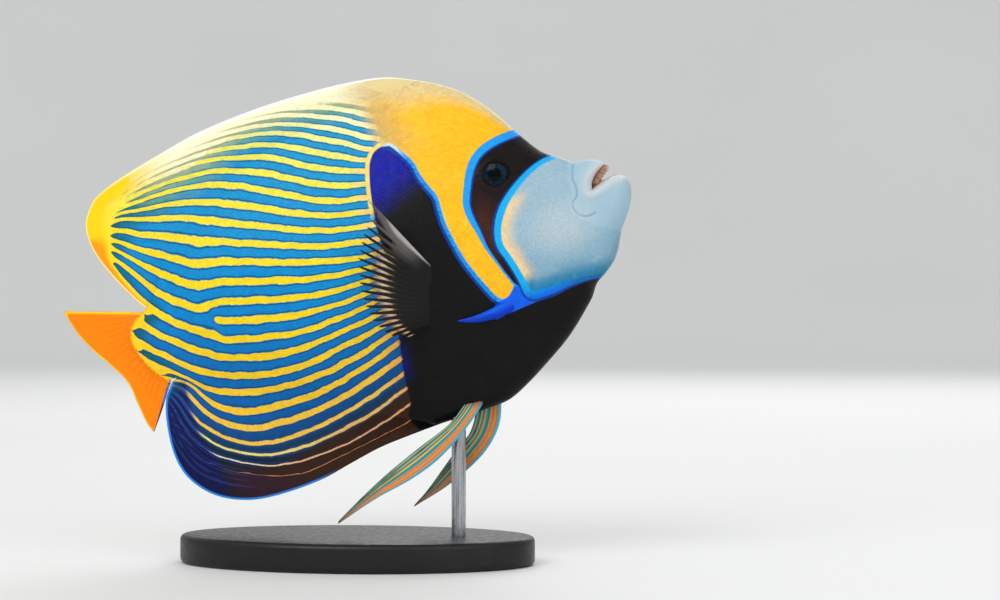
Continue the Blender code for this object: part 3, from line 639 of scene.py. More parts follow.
@dataclass
class Markings:
    """Where each colour lies, as named values at side-view places."""

    # Centre lines of some of the yellow stripes, numbered from the back down
    stripes: Sequence[tuple[int, Outline]] = (
        (-2, ((192, 62), (176, 76), (163, 84), (153, 90.3), (143, 95.6), (132, 101), (121, 103.6),
              (98, 106.4), (61, 107.4), (35, 104.4), (9, 98), (-12, 91), (-26, 78))),
        (0, ((170, 65), (160, 72.4), (150, 78.7), (140, 85.6), (129, 91), (119, 95.3), (108, 99.6),
             (97, 101.8), (85, 103), (61, 104.2), (35, 100.8), (9, 95.4), (-8, 88), (-18, 78.6))),
        (2, ((168, 51), (156, 60.4), (145.5, 66.1), (136, 73), (126, 78.6), (116, 84.7), (105.5, 89.4),
             (94, 93.4), (83, 95.9), (71, 97.2), (59, 97.5), (47, 97.4), (35, 96.8), (22, 95),
             (8, 91.2), (-8, 85), (-18, 76.2))),
        (4, ((165, 47), (145, 52), (118, 64), (95, 79), (78, 84.8), (62, 89.4), (45, 90.2), (29, 89.7),
             (16, 88.3), (4, 86), (-8, 81.6), (-19, 74))),
        (6, ((160, 35), (141, 38), (121, 43), (98, 55), (74, 69), (57, 76), (34, 80.2), (14, 80.8),
             (4, 80.6), (-8, 78.4), (-19, 72.6))),
        (8, ((157, 21), (136, 23), (108, 30), (84, 41), (60, 52), (35, 64), (13, 71), (2, 74.6),
             (-8, 75), (-19, 71.4))),
        (10, ((155, 5), (131, 7), (103, 13.5), (79, 22), (54, 31), (36, 36), (22, 45), (7, 54),
              (-6, 64.5), (-18, 70))),
        (12, ((150, -8), (126, -6), (105, -5), (80, 0), (55, 7.3), (43, 10.8), (36, 10.9), (30, 11.6),
              (24, 16), (16, 22), (8, 29.5), (3, 36.5), (-1, 43), (-8, 53), (-17, 65))),
        (14, ((152, -14), (128, -18), (109, -20), (82, -20), (56, -15), (39, -10), (32, -4.5), (17, 6),
              (7, 15.5), (-3, 30), (-10, 44), (-16, 57))),
        (16, ((150, -28), (122, -33), (103, -35), (74, -38), (48, -34.4), (31, -28), (16, -20), (4, -9),
              (-10, 4), (-30, 20))),
        (17, ((160, -31), (132, -37), (113, -42), (80, -46), (53, -44.3), (35, -40), (19, -33), (7, -21),
              (-8, -8), (-30, 6))),
        (18, ((155, -37), (130, -44), (109, -50), (76, -55), (49, -54), (32, -51), (24, -46),
              (18, -40.5), (14.5, -34.5), (11.5, -29), (7.5, -24.5), (2, -21.8), (-4, -20.5), (-20, -17))),
        (20, ((155, -53), (126, -61), (102, -67.5), (69, -73), (42, -72.6), (27, -67.5), (17, -60),
              (9, -51), (4.5, -42), (1.5, -33), (-3, -26.5), (-20, -22))),
        (22, ((150, -68), (115, -80.5), (97, -84.6), (82, -87), (60, -88), (46, -86.6), (35, -83.5),
              (25, -78.5), (15, -72.5), (8, -66.5), (2, -58), (-2, -47), (-4, -37), (-7, -30),
              (-20, -24.5))),
        (24, ((160, -92), (125, -93.5), (96, -95), (80, -97), (60, -101), (44, -99), (34, -95),
              (22, -89.5), (10, -83), (-1, -73), (-7, -60), (-9.5, -45), (-10.5, -33), (-20, -28))),
    )
    broken_between: tuple[int, int] = (12, 14)
    broken_until: Pair = (34.9, 38.9)
    stripe_reach: Outline = (
        (-2, 0.60), (0, 0.48), (3, 0.42), (6, 0.38), (12, 0.37), (15, 0.37), (17, 0.39), (18, 0.40),
        (19, 0.40), (20, 0.27), (21, 0.23), (22, 0.14), (23, 0.05), (24, -0.1))
    pale_width: Outline = (
        (-20, 4), (0, 8), (18, 12.5), (42, 14.5), (60, 14), (74, 11), (86, 9), (97, 8.4), (125, 9), (150, 11),
        (170, 14))
    lobe_width: Outline = ((20, 1.2), (40, 2.4), (54, 4.2), (64, 8.5), (76, 11.5), (86, 9), (94, 5))
    rim_width: Outline = (
        (-25, 0.8), (-5, 0.9), (20, 1.6), (60, 2.4), (110, 2.4), (150, 1.8), (165, 1.0), (190, 0.45),
        (220, 0.25))
    nape_edge: Outline = (
        (152, 112), (153, 100), (154.5, 91), (156, 79), (158, 68), (161, 58), (168, 45), (176, 20),
        (180, -20), (186, -60))
    nape_pale_width: Outline = ((140, 30), (165, 27), (180, 21), (195, 14), (210, 8), (225, 4))
    ending: Outline = ((-72, 11), (-59, 7), (-46, 5.6), (-34, 6.4), (-26, 7.9), (-20, 10))
    patch: Outline = (
        (162.4, 61.8), (168.4, 53.4), (171.9, 46.1), (173.1, 39.4), (175.5, 32.4), (178.3, 25), (178.2, 17.4),
        (178.1, 9.4), (179.4, -0.3), (181.5, -11.8), (184.8, -22.1), (188.4, -31.3), (191, -37.2),
        (194.6, -40.4), (198.8, -39.8), (202.5, -36), (206, -30), (225, -28), (262, -36), (285, -60),
        (240, -110), (150, -125), (128, -100), (122, -84), (125.4, -78), (126.8, -71.7), (128.4, -61.1),
        (131, -50), (133, -41), (135, -30), (137, -20.5), (139.4, -11.4), (141, -2.2), (141.4, 8),
        (141.8, 21), (143.9, 39), (147.6, 54), (151.4, 60.2), (156.4, 62.8))
    mask: Outline = (
        (236, 60), (232.5, 49.8), (229.2, 47.9), (219.3, 46.4), (210.8, 44.2), (203.9, 40.1), (198.9, 34.2),
        (194.4, 25.2), (191, 15.9), (191, 7.8), (192.9, -1), (194.9, -11.4), (197.7, -19.8), (200.7, -29),
        (203.3, -35), (209, -40), (230, -20), (262, -10), (262, 50))
    mask_line_width: Outline = ((-40, 0.8), (-20, 1.1), (-6, 2.0), (8, 3.4), (30, 4.0), (46, 4.4))
    face: Outline = (
        (249.5, 28), (247.6, 25.2), (239.4, 23.9), (230.4, 20.2), (220.6, 13.8), (212.3, 6), (206.6, -3.1),
        (204.8, -11.4), (206.9, -19.6), (208.9, -29), (210.2, -37.4), (210.9, -40.2), (212.6, -41),
        (221.5, -41.2), (231, -41.2), (241, -42.4), (250, -43.9), (257, -45.6), (300, -60), (320, 0),
        (300, 60), (256, 45))
    face_line_width: Outline = ((-48, 4.6), (-30, 3.6), (-8, 3.8), (8, 3.9), (20, 3.0), (30, 2.6))
    cheek_corner: Outline = (
        (203.4, -35), (208, -37.6), (212, -42.4), (219, -43.4), (227, -43.8), (217, -46), (210, -46.8),
        (202.8, -47.4), (193.8, -48), (186, -48), (188, -42.6), (198, -39.2))
    # Line of the painted shade along the chin's front
    chin_line: Outline = ((268.4, -20.4), (264, -28.8), (261, -33.8), (256.6, -39.6))
    blush_place: Pair = (238, -13)
    blush_size: Pair = (21, 17)
    warm_place: Pair = (199, -2)
    warm_size: Pair = (9, 17)
    crease_reach: float = 0.42
    lips_reach: float = 4.5
    tail_edge_width: float = 0.9
    tail_top_width: float = 2.0
    # Colours that fade: each step runs from none at its measure's first value to full at its second
    fades: Sequence[tuple[str, Sequence[Fade]]] = (
        ("gild", (("forward", 60, -8),)),
        ("lobe_gloom", (("lobe", 4, 1.2), ("up", 24, 40))),
        ("tail_gloom", (("tail_root", 12, 3), ("up", 30, 22))),
        ("low_rear", (("forward", 76, 58),)),
        ("navy", (("number", 17.2, 20.6),)),
        ("ending", (("ending", -1.5, 2), ("up", -21, -25))),
        ("rust", (("number", 20.3, 21.3), ("rusting", 44, 84))),
        ("maroon", (("number", 22.6, 23.4), ("forward", 6, 24), ("forward", 66, 36))),
        ("nape_tan", (("nape", 24, 4), ("up", 48, 66), ("up", 94, 84))),
        ("nape_edge", (("nape", 15, 0), ("up", 56, 70))),
        ("nape_top", (("up", 80, 94),)),
        ("patch_front", (("patch_front", 156, 161),)),
        ("patch_top", (("up", 50, 60),)),
        ("patch_low", (("patch_low", -42, -20),)),
        ("belly_glow", (("up", -26, -40), ("up", -70, -54), ("forward", 140, 126))),
        ("ring_dim", (("forward", 218, 244), ("up", -28, -40))),
        ("ring_narrow", (("forward", 218, 250), ("up", -28, -40))),
        ("deep", (("up", -34, -50),)),
        ("blush", (("blush", 1.2, 0.2),)),
        ("peach", (("up", -38, -28), ("up", 16, 6), ("forward", 240, 222))),
        ("chin", (("up", -6, -40),)),
        ("chin_line_top", (("up", -30, -20),)),
    )
    # How much wider the yellow stripes grow, and where
    widenings: Sequence[tuple[float, Sequence[Fade]]] = (
        (0.45, (("lobe", 1.9, 0.9), ("up", 24, 40))), (0.9, (("lobe", 1.5, 0.9), ("up", 24, 40))),
        (0.2, (("pale", 1.5, 0.6),)), (0.6, (("tail_root", 4, 0), ("up", 30, 22))))

    def stripe_phase(self, places: Array) -> tuple[Array, Array, Array]:
        """Works out the stripes.

        Args:
            places: Side-view places.

        Returns:
            Cosine and sine of the stripes' phase, 1 and 0 in the middle of a yellow stripe, and the
            stripes' number from the back down.
        """
        numbers = np.array([number for number, _ in self.stripes], float)
        below = np.stack([offset(places, smooth_line(line)) for _, line in self.stripes])
        upper = np.clip((below > 0).cumprod(axis=0).sum(axis=0) - 1, 0, len(numbers) - 2)
        who = np.arange(len(places))
        over, under = np.abs(below[upper, who]), np.abs(below[upper + 1, who])
        share = over / np.maximum(over + under, TINY)
        number = numbers[upper] + (numbers[upper + 1] - numbers[upper]) * share
        first, last = self.broken_between
        broken = (numbers[upper] == first) & (numbers[upper + 1] == last)
        whole = np.where(broken, rise(places[:, 0], *self.broken_until), 1)
        angle, merged = 2 * math.pi * number, 2 * math.pi * share
        cosine = np.cos(angle) * whole + np.cos(merged) * (1 - whole)
        sine = np.sin(angle) * whole + np.sin(merged) * (1 - whole)
        return cosine, sine, number

    def fields(self, places: Array, flesh: Flesh) -> dict[str, Array]:
        """Works out every marking.

        Args:
            places: Side-view places.
            flesh: The body's form.

        Returns:
            Named values, one for each place, that the skin's finish reads.
        """
        forward, up = places.T
        cosine, sine, number = self.stripe_phase(places)
        top_rim = away(places, [*DORSAL_MARGIN, *FOREHEAD[1:6]])
        nape = offset(places, smooth_line(self.nape_edge))
        tail_root = away(places, TAIL_BORDER)
        at = {
            "forward": forward,
            "up": up,
            "number": number,
            "pale": away(places, DORSAL_MARGIN[6:]) / ramp(self.pale_width, forward),
            "lobe": away(places, DORSAL_MARGIN[:9]) / ramp(self.lobe_width, up),
            "nape": nape,
            "tail_root": tail_root,
            "ending": ramp(self.ending, up) - forward,
            "rusting": forward + 40 * rise(number, 21.2, 22.6),
            "patch_front": forward + (61 - up) * 0.02,
            "patch_low": 0.38 * (forward - 149) - up,
            "blush": np.linalg.norm((places - self.blush_place) / self.blush_size, axis=1),
        }
        faint = {name: faded(at, fades) for name, fades in self.fades}
        lobe_gloom, tail_gloom, nape_edge, nape_top, ring_narrow, chin_line_top = (
            faint.pop(name) for name in ("lobe_gloom", "tail_gloom", "nape_edge", "nape_top", "ring_narrow",
                                         "chin_line_top"))
        widened = sum(gain * faded(at, fades) for gain, fades in self.widenings)
        mask, face, patch, corner = (depth_inside(places, smooth_line(border)) for border in (
            self.mask, self.face, self.patch, self.cheek_corner))
        nape_pale = 1 - clamped(top_rim / ramp(self.nape_pale_width, forward))
        warm = (places - self.warm_place) / self.warm_size
        tail_top = np.array([TAIL_BORDER[-1], TAIL_MARGIN[-1]])
        tail_ring = np.vstack([smooth_line(TAIL_BORDER), smooth_line(TAIL_MARGIN)[::-1]])
        lips = np.minimum(away(places, UPPER_LIP_EDGE), away(places, LOWER_LIP_EDGE))
        return {
            **faint,
            "gloom": np.maximum(lobe_gloom, tail_gloom),
            "nape": nape * (1 - 0.6 * nape_top),
            "nape_pale": np.maximum(nape_pale, 0.5 * nape_edge),
            "face_line": -face / (ramp(self.face_line_width, up) * (1 - 0.62 * ring_narrow)),
            "chin_line": away(places, self.chin_line) + 4 * chin_line_top,
            "stripe_cos": cosine,
            "stripe_sin": sine,
            "level": number / self.stripes[-1][0],
            "stripe_reach": ramp(self.stripe_reach, number) + widened,
            "pale": at["pale"],
            "lobe": at["lobe"],
            "rim": top_rim / ramp(self.rim_width, forward),
            "low_rim": away(places, ANAL_MARGIN),
            "patch": patch,
            "mask": mask,
            "mask_line": mask / ramp(self.mask_line_width, up),
            "mask_warm": bell(warm[:, 0], 1) * bell(warm[:, 1], 1),
            "face": face,
            "corner": corner,
            # Reach of the painted shade along the lip groove
            "crease": bell(away(places, flesh.groove), self.crease_reach),
            "lips": bell(lips, self.lips_reach),
            "tail": depth_inside(places, tail_ring),
            "tail_root": tail_root,
            "tail_edge": np.minimum(np.abs(offset(places, tail_top)) / self.tail_top_width,
                                    away(places, TAIL_MARGIN) / self.tail_edge_width),
        }


@dataclass
class Skin:
    """One skin over head, trunk, tail stalk, jaws and middle fins, which holds no seam."""

    flesh: Flesh
    markings: Markings
    stalk_steps: int = 21
    slot_steps: int = 3
    ray_steps: int = 6
    head_columns: int = 70
    rows: int = 92
    jaw_row: int = 51
    crease_columns: int = 22
    lower_jaw_rows: int = 34
    dorsal: FinForm = field(default_factory=lambda: FinForm(rays=34, relief=0.2))
    anal: FinForm = field(default_factory=lambda: FinForm(rays=23, relief=0.24))
    tail: FinForm = field(default_factory=lambda: FinForm(rays=17, relief=0.16))
    tail_bow: float = 0.9
    bow_power: int = 12
    fin_rows: int = 30
    tail_columns: int = 24
    mouth_depths: Sequence[Pair] = (
        (0.06, 0.0), (0.14, 0.3), (0.36, 0.8), (0.62, 1.0), (0.85, 1.0))
    mouth_heart: Triple = (258.5, 0.0, 5.4)

    def body_rows(self) -> Array:
        """Spaces the rows up the body, close set at both edges.

        Returns:
            Fractions of the way up.
        """
        edge = np.array([0, 0.0012, 0.004, 0.009, 0.017, 0.028])
        middle = self.rows - 2 * (len(edge) - 1)
        return np.concatenate([edge[:-1], edge[-1] + (1 - 2 * edge[-1]) * even(middle), 1 - edge[-2::-1]])

    def head_steps(self) -> Array:
        """Fractions along the head, close set at the edge of the gill cover."""
        near = np.array([0, 0.0022, 0.0048, 0.0085, 0.014])
        return np.concatenate([near[:-1], near[-1] + (1 - near[-1]) * even(self.head_columns - 4)])

    def trunk_patches(self) -> list[Patch]:
        """Lays out tail stalk, trunk and head.

        Returns:
            Their patches, which share the rows up the body.
        """
        rows = self.body_rows()
        top_count = self.dorsal.rays * self.ray_steps
        foot_count = self.anal.rays * self.ray_steps
        top_base = spaced(DORSAL_BASE, even(top_count))
        foot_base = spaced(ANAL_BASE, even(foot_count))
        cut, slot = self.stalk_steps, self.slot_steps
        stalk_top = np.vstack([spaced([TAIL_BORDER[-1], DORSAL_END], even(slot)), top_base[1:cut + 1]])
        stalk_foot = np.vstack([spaced([TAIL_BORDER[0], ANAL_END], even(slot)), foot_base[1:cut + 1]])
        waist_middle = (foot_base[cut] + top_base[cut]) / 2 + STALK_BOW
        waist = spaced([foot_base[cut], waist_middle, top_base[cut]], rows)
        gill = spaced(GILL_EDGE, rows)
        belly = spaced(BELLY, even(top_count - foot_count))
        trunk_foot = np.vstack([foot_base[cut:], belly[1:]])
        steps = self.head_steps()
        grids = {
            "tail_stalk": coons(spaced(TAIL_BORDER, rows), waist, stalk_foot, stalk_top,
                                even(cut + slot), rows),
            "trunk": coons(waist, gill, trunk_foot, top_base[cut:], even(top_count - cut), rows),
            "head": coons(gill, spaced(LIP_GROOVE, rows), spaced(CHEST, steps), spaced(FOREHEAD, steps),
                          steps, rows),
        }
        patches = []
        for name, grid in grids.items():
            widths = self.flesh.width(grid.reshape(-1, 2)).reshape(grid.shape[:2])
            patches.append(Patch(name, grid, widths))
        return patches

    def fin_patch(self, name: str, form: FinForm, base: Array, margin: Array,
                  across: Array, steps: int, bow: float = 0.0) -> Patch:
        """Fin in the middle plane.

        Args:
            name: The patch's name.
            form: The fin's thickness.
            base: Places along its base.
            margin: Places along its margin, as many.
            across: Fractions across the rays, as many.
            steps: Count of steps from base to margin.
            bow: How far the first ray bulges forward, in millimetres.

        Returns:
            The patch, a column for each place of the base.
        """
        share = even(steps)
        grid = base[:, None] * (1 - share[None, :, None]) + margin[:, None] * share[None, :, None]
        grid[..., 0] += bow * np.sin(math.pi * share)[None] * (1 - across[:, None]) ** self.bow_power
        root = self.flesh.width(base)[:, None]
        widths = form.half_thickness(root, share[None, :], across[:, None])
        crest = form.crest(share[None, :], across[:, None])
        return Patch(name, grid, widths, np.broadcast_to(share, widths.shape), crest)

    def fin_patches(self) -> list[Patch]:
        """Lays out dorsal, anal and tail fin.

        Returns:
            Their patches.
        """
        patches = []
        for name, form, base, margin in (("dorsal", self.dorsal, DORSAL_BASE, DORSAL_MARGIN),
                                         ("anal", self.anal, ANAL_BASE, ANAL_MARGIN)):
            across = even(form.rays * self.ray_steps)
            patches.append(self.fin_patch(name, form, spaced(base, across), spaced(margin, across), across,
                                          self.fin_rows))
        rows = self.body_rows()
        patches.append(self.fin_patch("tail", self.tail, spaced(TAIL_BORDER, rows), spaced(TAIL_MARGIN, rows),
                                      rows, self.tail_columns, self.tail_bow))
        return patches

    def jaw_patches(self) -> list[Patch]:
        """Lays out upper and lower jaw on both sides of the mouth.

        Returns:
            Their patches, with their lips marked.
        """
        groove = spaced(LIP_GROOVE, self.body_rows())
        corner = groove[self.jaw_row]
        count = self.crease_columns
        crease = spaced([corner, MOUTH_CORNER], even(count))
        upper_rear = groove[self.jaw_row:]
        up_rows = even(len(upper_rear) - 1)
        upper = coons(upper_rear, spaced(UPPER_LIP_EDGE, up_rows), crease, spaced(UPPER_LIP_TOP, even(count)),
                      even(count), up_rows)
        lower_foot = groove[self.jaw_row::-1]
        lip_count = self.jaw_row - count
        lower_top = np.vstack([crease, spaced(LOWER_LIP_EDGE, even(lip_count))[1:]])
        columns, rows = even(self.jaw_row), even(self.lower_jaw_rows)
        front = spaced(LOWER_LIP_FRONT, rows)
        lower = coons(np.repeat(corner[None], len(rows), axis=0), front, lower_foot, lower_top, columns, rows)
        upper_lips = [(count, j) for j in range(len(up_rows))]
        lower_lips = [(i, len(rows) - 1) for i in range(count, self.jaw_row + 1)]
        patches = []
        for name, grid, lip, lips in (("upper_jaw", upper, UPPER_LIP_EDGE, upper_lips),
                                      ("lower_jaw", lower, LOWER_LIP_EDGE, lower_lips)):
            widths = self.flesh.lipped_width(grid.reshape(-1, 2), lip).reshape(grid.shape[:2])
            patches.append(Patch(name, grid, widths, lips=lips))
        return patches

    def patches(self) -> list[Patch]:
        """Every stretch of the right side's skin."""
        return self.trunk_patches() + self.fin_patches() + self.jaw_patches()

    def sink_mouth(self, body: bmesh.types.BMesh, mouth: bmesh.types.BMLayerItem) -> None:
        """Turns the skin in at the lips and closes it at the back of the mouth.

        Args:
            body: The whole skin, open only at the mouth.
            mouth: Vertex layer that is 1 inside the mouth.
        """
        heart = Vector(placed(np.array(self.mouth_heart)))
        ring = [edge for edge in body.edges if edge.is_boundary]
        last = 0.0
        for share, back in self.mouth_depths:
            geometry = bmesh.ops.extrude_edge_only(body, edges=ring)["geom"]
            ring = [item for item in geometry if isinstance(item, bmesh.types.BMEdge)]
            for vertex in [item for item in geometry if isinstance(item, bmesh.types.BMVert)]:
                vertex.co = vertex.co.lerp(heart, (share - last) / (1 - last))
                vertex[mouth] = back
            last = share
        bmesh.ops.contextual_create(body, geom=ring)

    def build(self, finish: Material) -> tuple[bpy.types.Object, list[Patch]]:
        """Builds the skin.

        Args:
            finish: The skin's finish.

        Returns:
            The skin and its patches, which the scales grow on.
        """
        patches = self.patches()
        body = bmesh.new()
        layers = body.verts.layers.float
        lip, mouth, crest = (layers.new(name) for name in ("lip", "mouth", "crest"))
        for patch in patches:
            fields = [] if patch.crest is None else [(crest, patch.crest)]
            grid = grid_of(body, patch.points(), fields)
            for i, j in patch.lips:
                grid[i][j][lip] = 1
        bmesh.ops.remove_doubles(body, verts=body.verts[:], dist=MERGE_DISTANCE)
        rim = [edge for edge in body.edges if edge.is_boundary and not all(v[lip] for v in edge.verts)]
        wall = bmesh.ops.extrude_edge_only(body, edges=rim)["geom"]
        for item in wall:
            if isinstance(item, bmesh.types.BMVert):
                item.co.y = 0
        bmesh.ops.remove_doubles(body, verts=body.verts[:], dist=MERGE_DISTANCE)
        bmesh.ops.dissolve_degenerate(body, edges=body.edges[:], dist=MERGE_DISTANCE)
        bmesh.ops.mirror(body, geom=body.verts[:] + body.edges[:] + body.faces[:], axis="Y",
                         merge_dist=MERGE_DISTANCE)
        self.sink_mouth(body, mouth)
        skin = finished(mesh_of("skin", body), finish, 75.0)
        keep_fields(skin.data, self.markings.fields(levelled(vertex_places(skin.data)), self.flesh))
        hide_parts("head", "torso", "tail_stalk", "dorsal_fin", "anal_fin", "caudal_fin", "upper_jaw",
                    "lower_jaw", "gill_cover_right", "gill_cover_left")
        return skin, patches


class Graph:
    """Node graph of one finish, painted layer over layer."""

    def __init__(self, name: str, roughness: float = 0.45, coat: float = 0.0, specular: float = 0.5,
                 metallic: float = 0.0) -> None:
        """Starts a finish.

        Args:
            name: The material's name.
            roughness: Roughness of the whole surface until another is fed in.
            coat: Weight of the clear coat.
            specular: Strength of the shine.
            metallic: 1 for metal.
        """
        self.material = bpy.data.materials.new(name)
        self.material.use_nodes = True
        self.nodes = self.material.node_tree.nodes
        self.links = self.material.node_tree.links
        self.shader = self.nodes["Principled BSDF"]
        for socket, value in (("Roughness", roughness), ("Coat Weight", coat),
                              ("Specular IOR Level", specular), ("Metallic", metallic)):
            self.shader.inputs[socket].default_value = value
        self.place = self.nodes.new("ShaderNodeTexCoord").outputs["Object"]

    def feed(self, socket: Socket, value: Union[Value, Paint]) -> None:
        """Links a socket to a value, or sets it.

        Args:
            socket: The socket.
            value: Another node's output, a screen colour or a plain value.
        """
        if isinstance(value, Socket):
            self.links.new(value, socket)
        elif isinstance(value, str):
            socket.default_value = colour(value)
        else:
            socket.default_value = value

    def node(self, kind: str, inputs: dict[Union[int, str], Any], **settings: str) -> bpy.types.Node:
        """Adds a node.

        Args:
            kind: Its type.
            inputs: What its sockets are fed, by name or number.
            settings: Its own settings by name.

        Returns:
            The node.
        """
        made = self.nodes.new(f"ShaderNode{kind}")
        for name, setting in settings.items():
            setattr(made, name, setting)
        for socket, value in inputs.items():
            self.feed(made.inputs[socket], value)
        return made

    def value(self, name: str) -> Socket:
        """Named value of the surface."""
        return self.node("Attribute", {}, attribute_name=name).outputs["Fac"]

    def math(self, operation: str, *values: Value) -> Socket:
        """Result of a sum on values."""
        return self.node("Math", dict(enumerate(values)), operation=operation).outputs[0]

    def times(self, *values: Value) -> Value:
        """Product of values."""
        return reduce(partial(self.math, "MULTIPLY"), values)

    def plus(self, one: Value, other: Value) -> Socket:
        """Sum of two values."""
        return self.math("ADD", one, other)

    def minus(self, one: Value, other: Value) -> Socket:
        """Difference of two values."""
        return self.math("SUBTRACT", one, other)

    def step(self, value: Value, low: float, high: float, start: float = 0.0,
             end: float = 1.0) -> Socket:
        """Smooth step from start, where the value is low, to end, where it is high."""
        sockets = dict(enumerate((value, low, high, start, end)))
        return self.node("MapRange", sockets, interpolation_type="SMOOTHSTEP").outputs[0]

    def drop(self, value: Value, low: float, high: float) -> Socket:
        """Smooth step from 1, where the value is low, to 0, where it is high."""
        return self.step(value, low, high, 1.0, 0.0)

    def band(self, value: Value, low: Value, high: Value, soft: float) -> Socket:
        """1 where the value lies between low and high, with soft edges."""
        return self.times(self.step(self.minus(value, low), -soft, soft),
                          self.drop(self.minus(value, high), -soft, soft))

    def over(self, under: Paint, paint: Paint, *amounts: Value) -> Socket:
        """Paint laid over what is under it, as much as the product of the amounts."""
        return self.node("Mix", {0: self.times(*amounts), 6: under, 7: paint}, data_type="RGBA").outputs[2]

    def brightened(self, under: Paint, factor: Value) -> Socket:
        """Paint made brighter or darker by a factor."""
        return self.node("HueSaturation", {"Color": under, "Value": factor}).outputs[0]

    def stops(self, value: Value, stops: Sequence[tuple[float, str]]) -> Socket:
        """Runs through colours as a value goes from 0 to 1.

        Args:
            value: The value.
            stops: Pairs of place and screen colour.

        Returns:
            The colour.
        """
        node = self.node("ValToRGB", {0: value})
        elements = node.color_ramp.elements
        while len(elements) < len(stops):
            elements.new(1.0)
        for element, (place, code) in zip(elements, stops):
            element.position = place
            element.color = colour(code)
        return node.outputs[0]

    def noise(self, size: float, detail: float = 2.0, stretch: Triple = (1, 1, 1),
              turn: float = 0.0) -> Socket:
        """Makes a cloudy pattern.

        Args:
            size: Size of its features in millimetres.
            detail: How many finer layers it holds.
            stretch: Scales along X, Y and Z.
            turn: Its turn about Y.

        Returns:
            Values about 0.5.
        """
        place = self.node("Mapping", {"Vector": self.place, "Rotation": (0, turn, 0), "Scale": stretch})
        sockets = {"Vector": place.outputs[0], "Scale": 1 / (size * MILLIMETRE), "Detail": detail}
        return self.node("TexNoise", sockets).outputs["Fac"]

    def cloud(self, size: float, detail: float, spread: Value) -> Socket:
        """Cloudy pattern about 0, spread this wide."""
        return self.times(self.minus(self.noise(size, detail), 0.5), spread)

    def cells(self, size: float) -> Socket:
        """Pattern of round cells this many millimetres across."""
        sockets = {"Vector": self.place, "Scale": 1 / (size * MILLIMETRE)}
        return self.node("TexVoronoi", sockets).outputs["Distance"]

    def bump(self, height: Value, depth: float, strength: float = 1.0) -> None:
        """Feeds a relief of this depth in millimetres to the shader."""
        sockets = {"Strength": strength, "Distance": depth * MILLIMETRE, "Height": height}
        self.feed(self.shader.inputs["Normal"], self.node("Bump", sockets).outputs[0])

    def finish(self, paint: Paint, roughness: Value | None = None) -> Material:
        """Hands over the material.

        Args:
            paint: Its colour.
            roughness: Its roughness, where that changes over the surface.

        Returns:
            The material.
        """
        self.feed(self.shader.inputs["Base Color"], paint)
        if roughness is not None:
            self.feed(self.shader.inputs["Roughness"], roughness)
        return self.material


def colour(code: str) -> tuple[float, float, float, float]:
    """Linear colour of a screen colour in hexadecimal."""
    parts = [int(code[k:k + 2], 16) / 255 for k in (0, 2, 4)]
    return (*[c / 12.92 if c <= 0.04045 else ((c + 0.055) / 1.055) ** 2.4 for c in parts], 1.0)


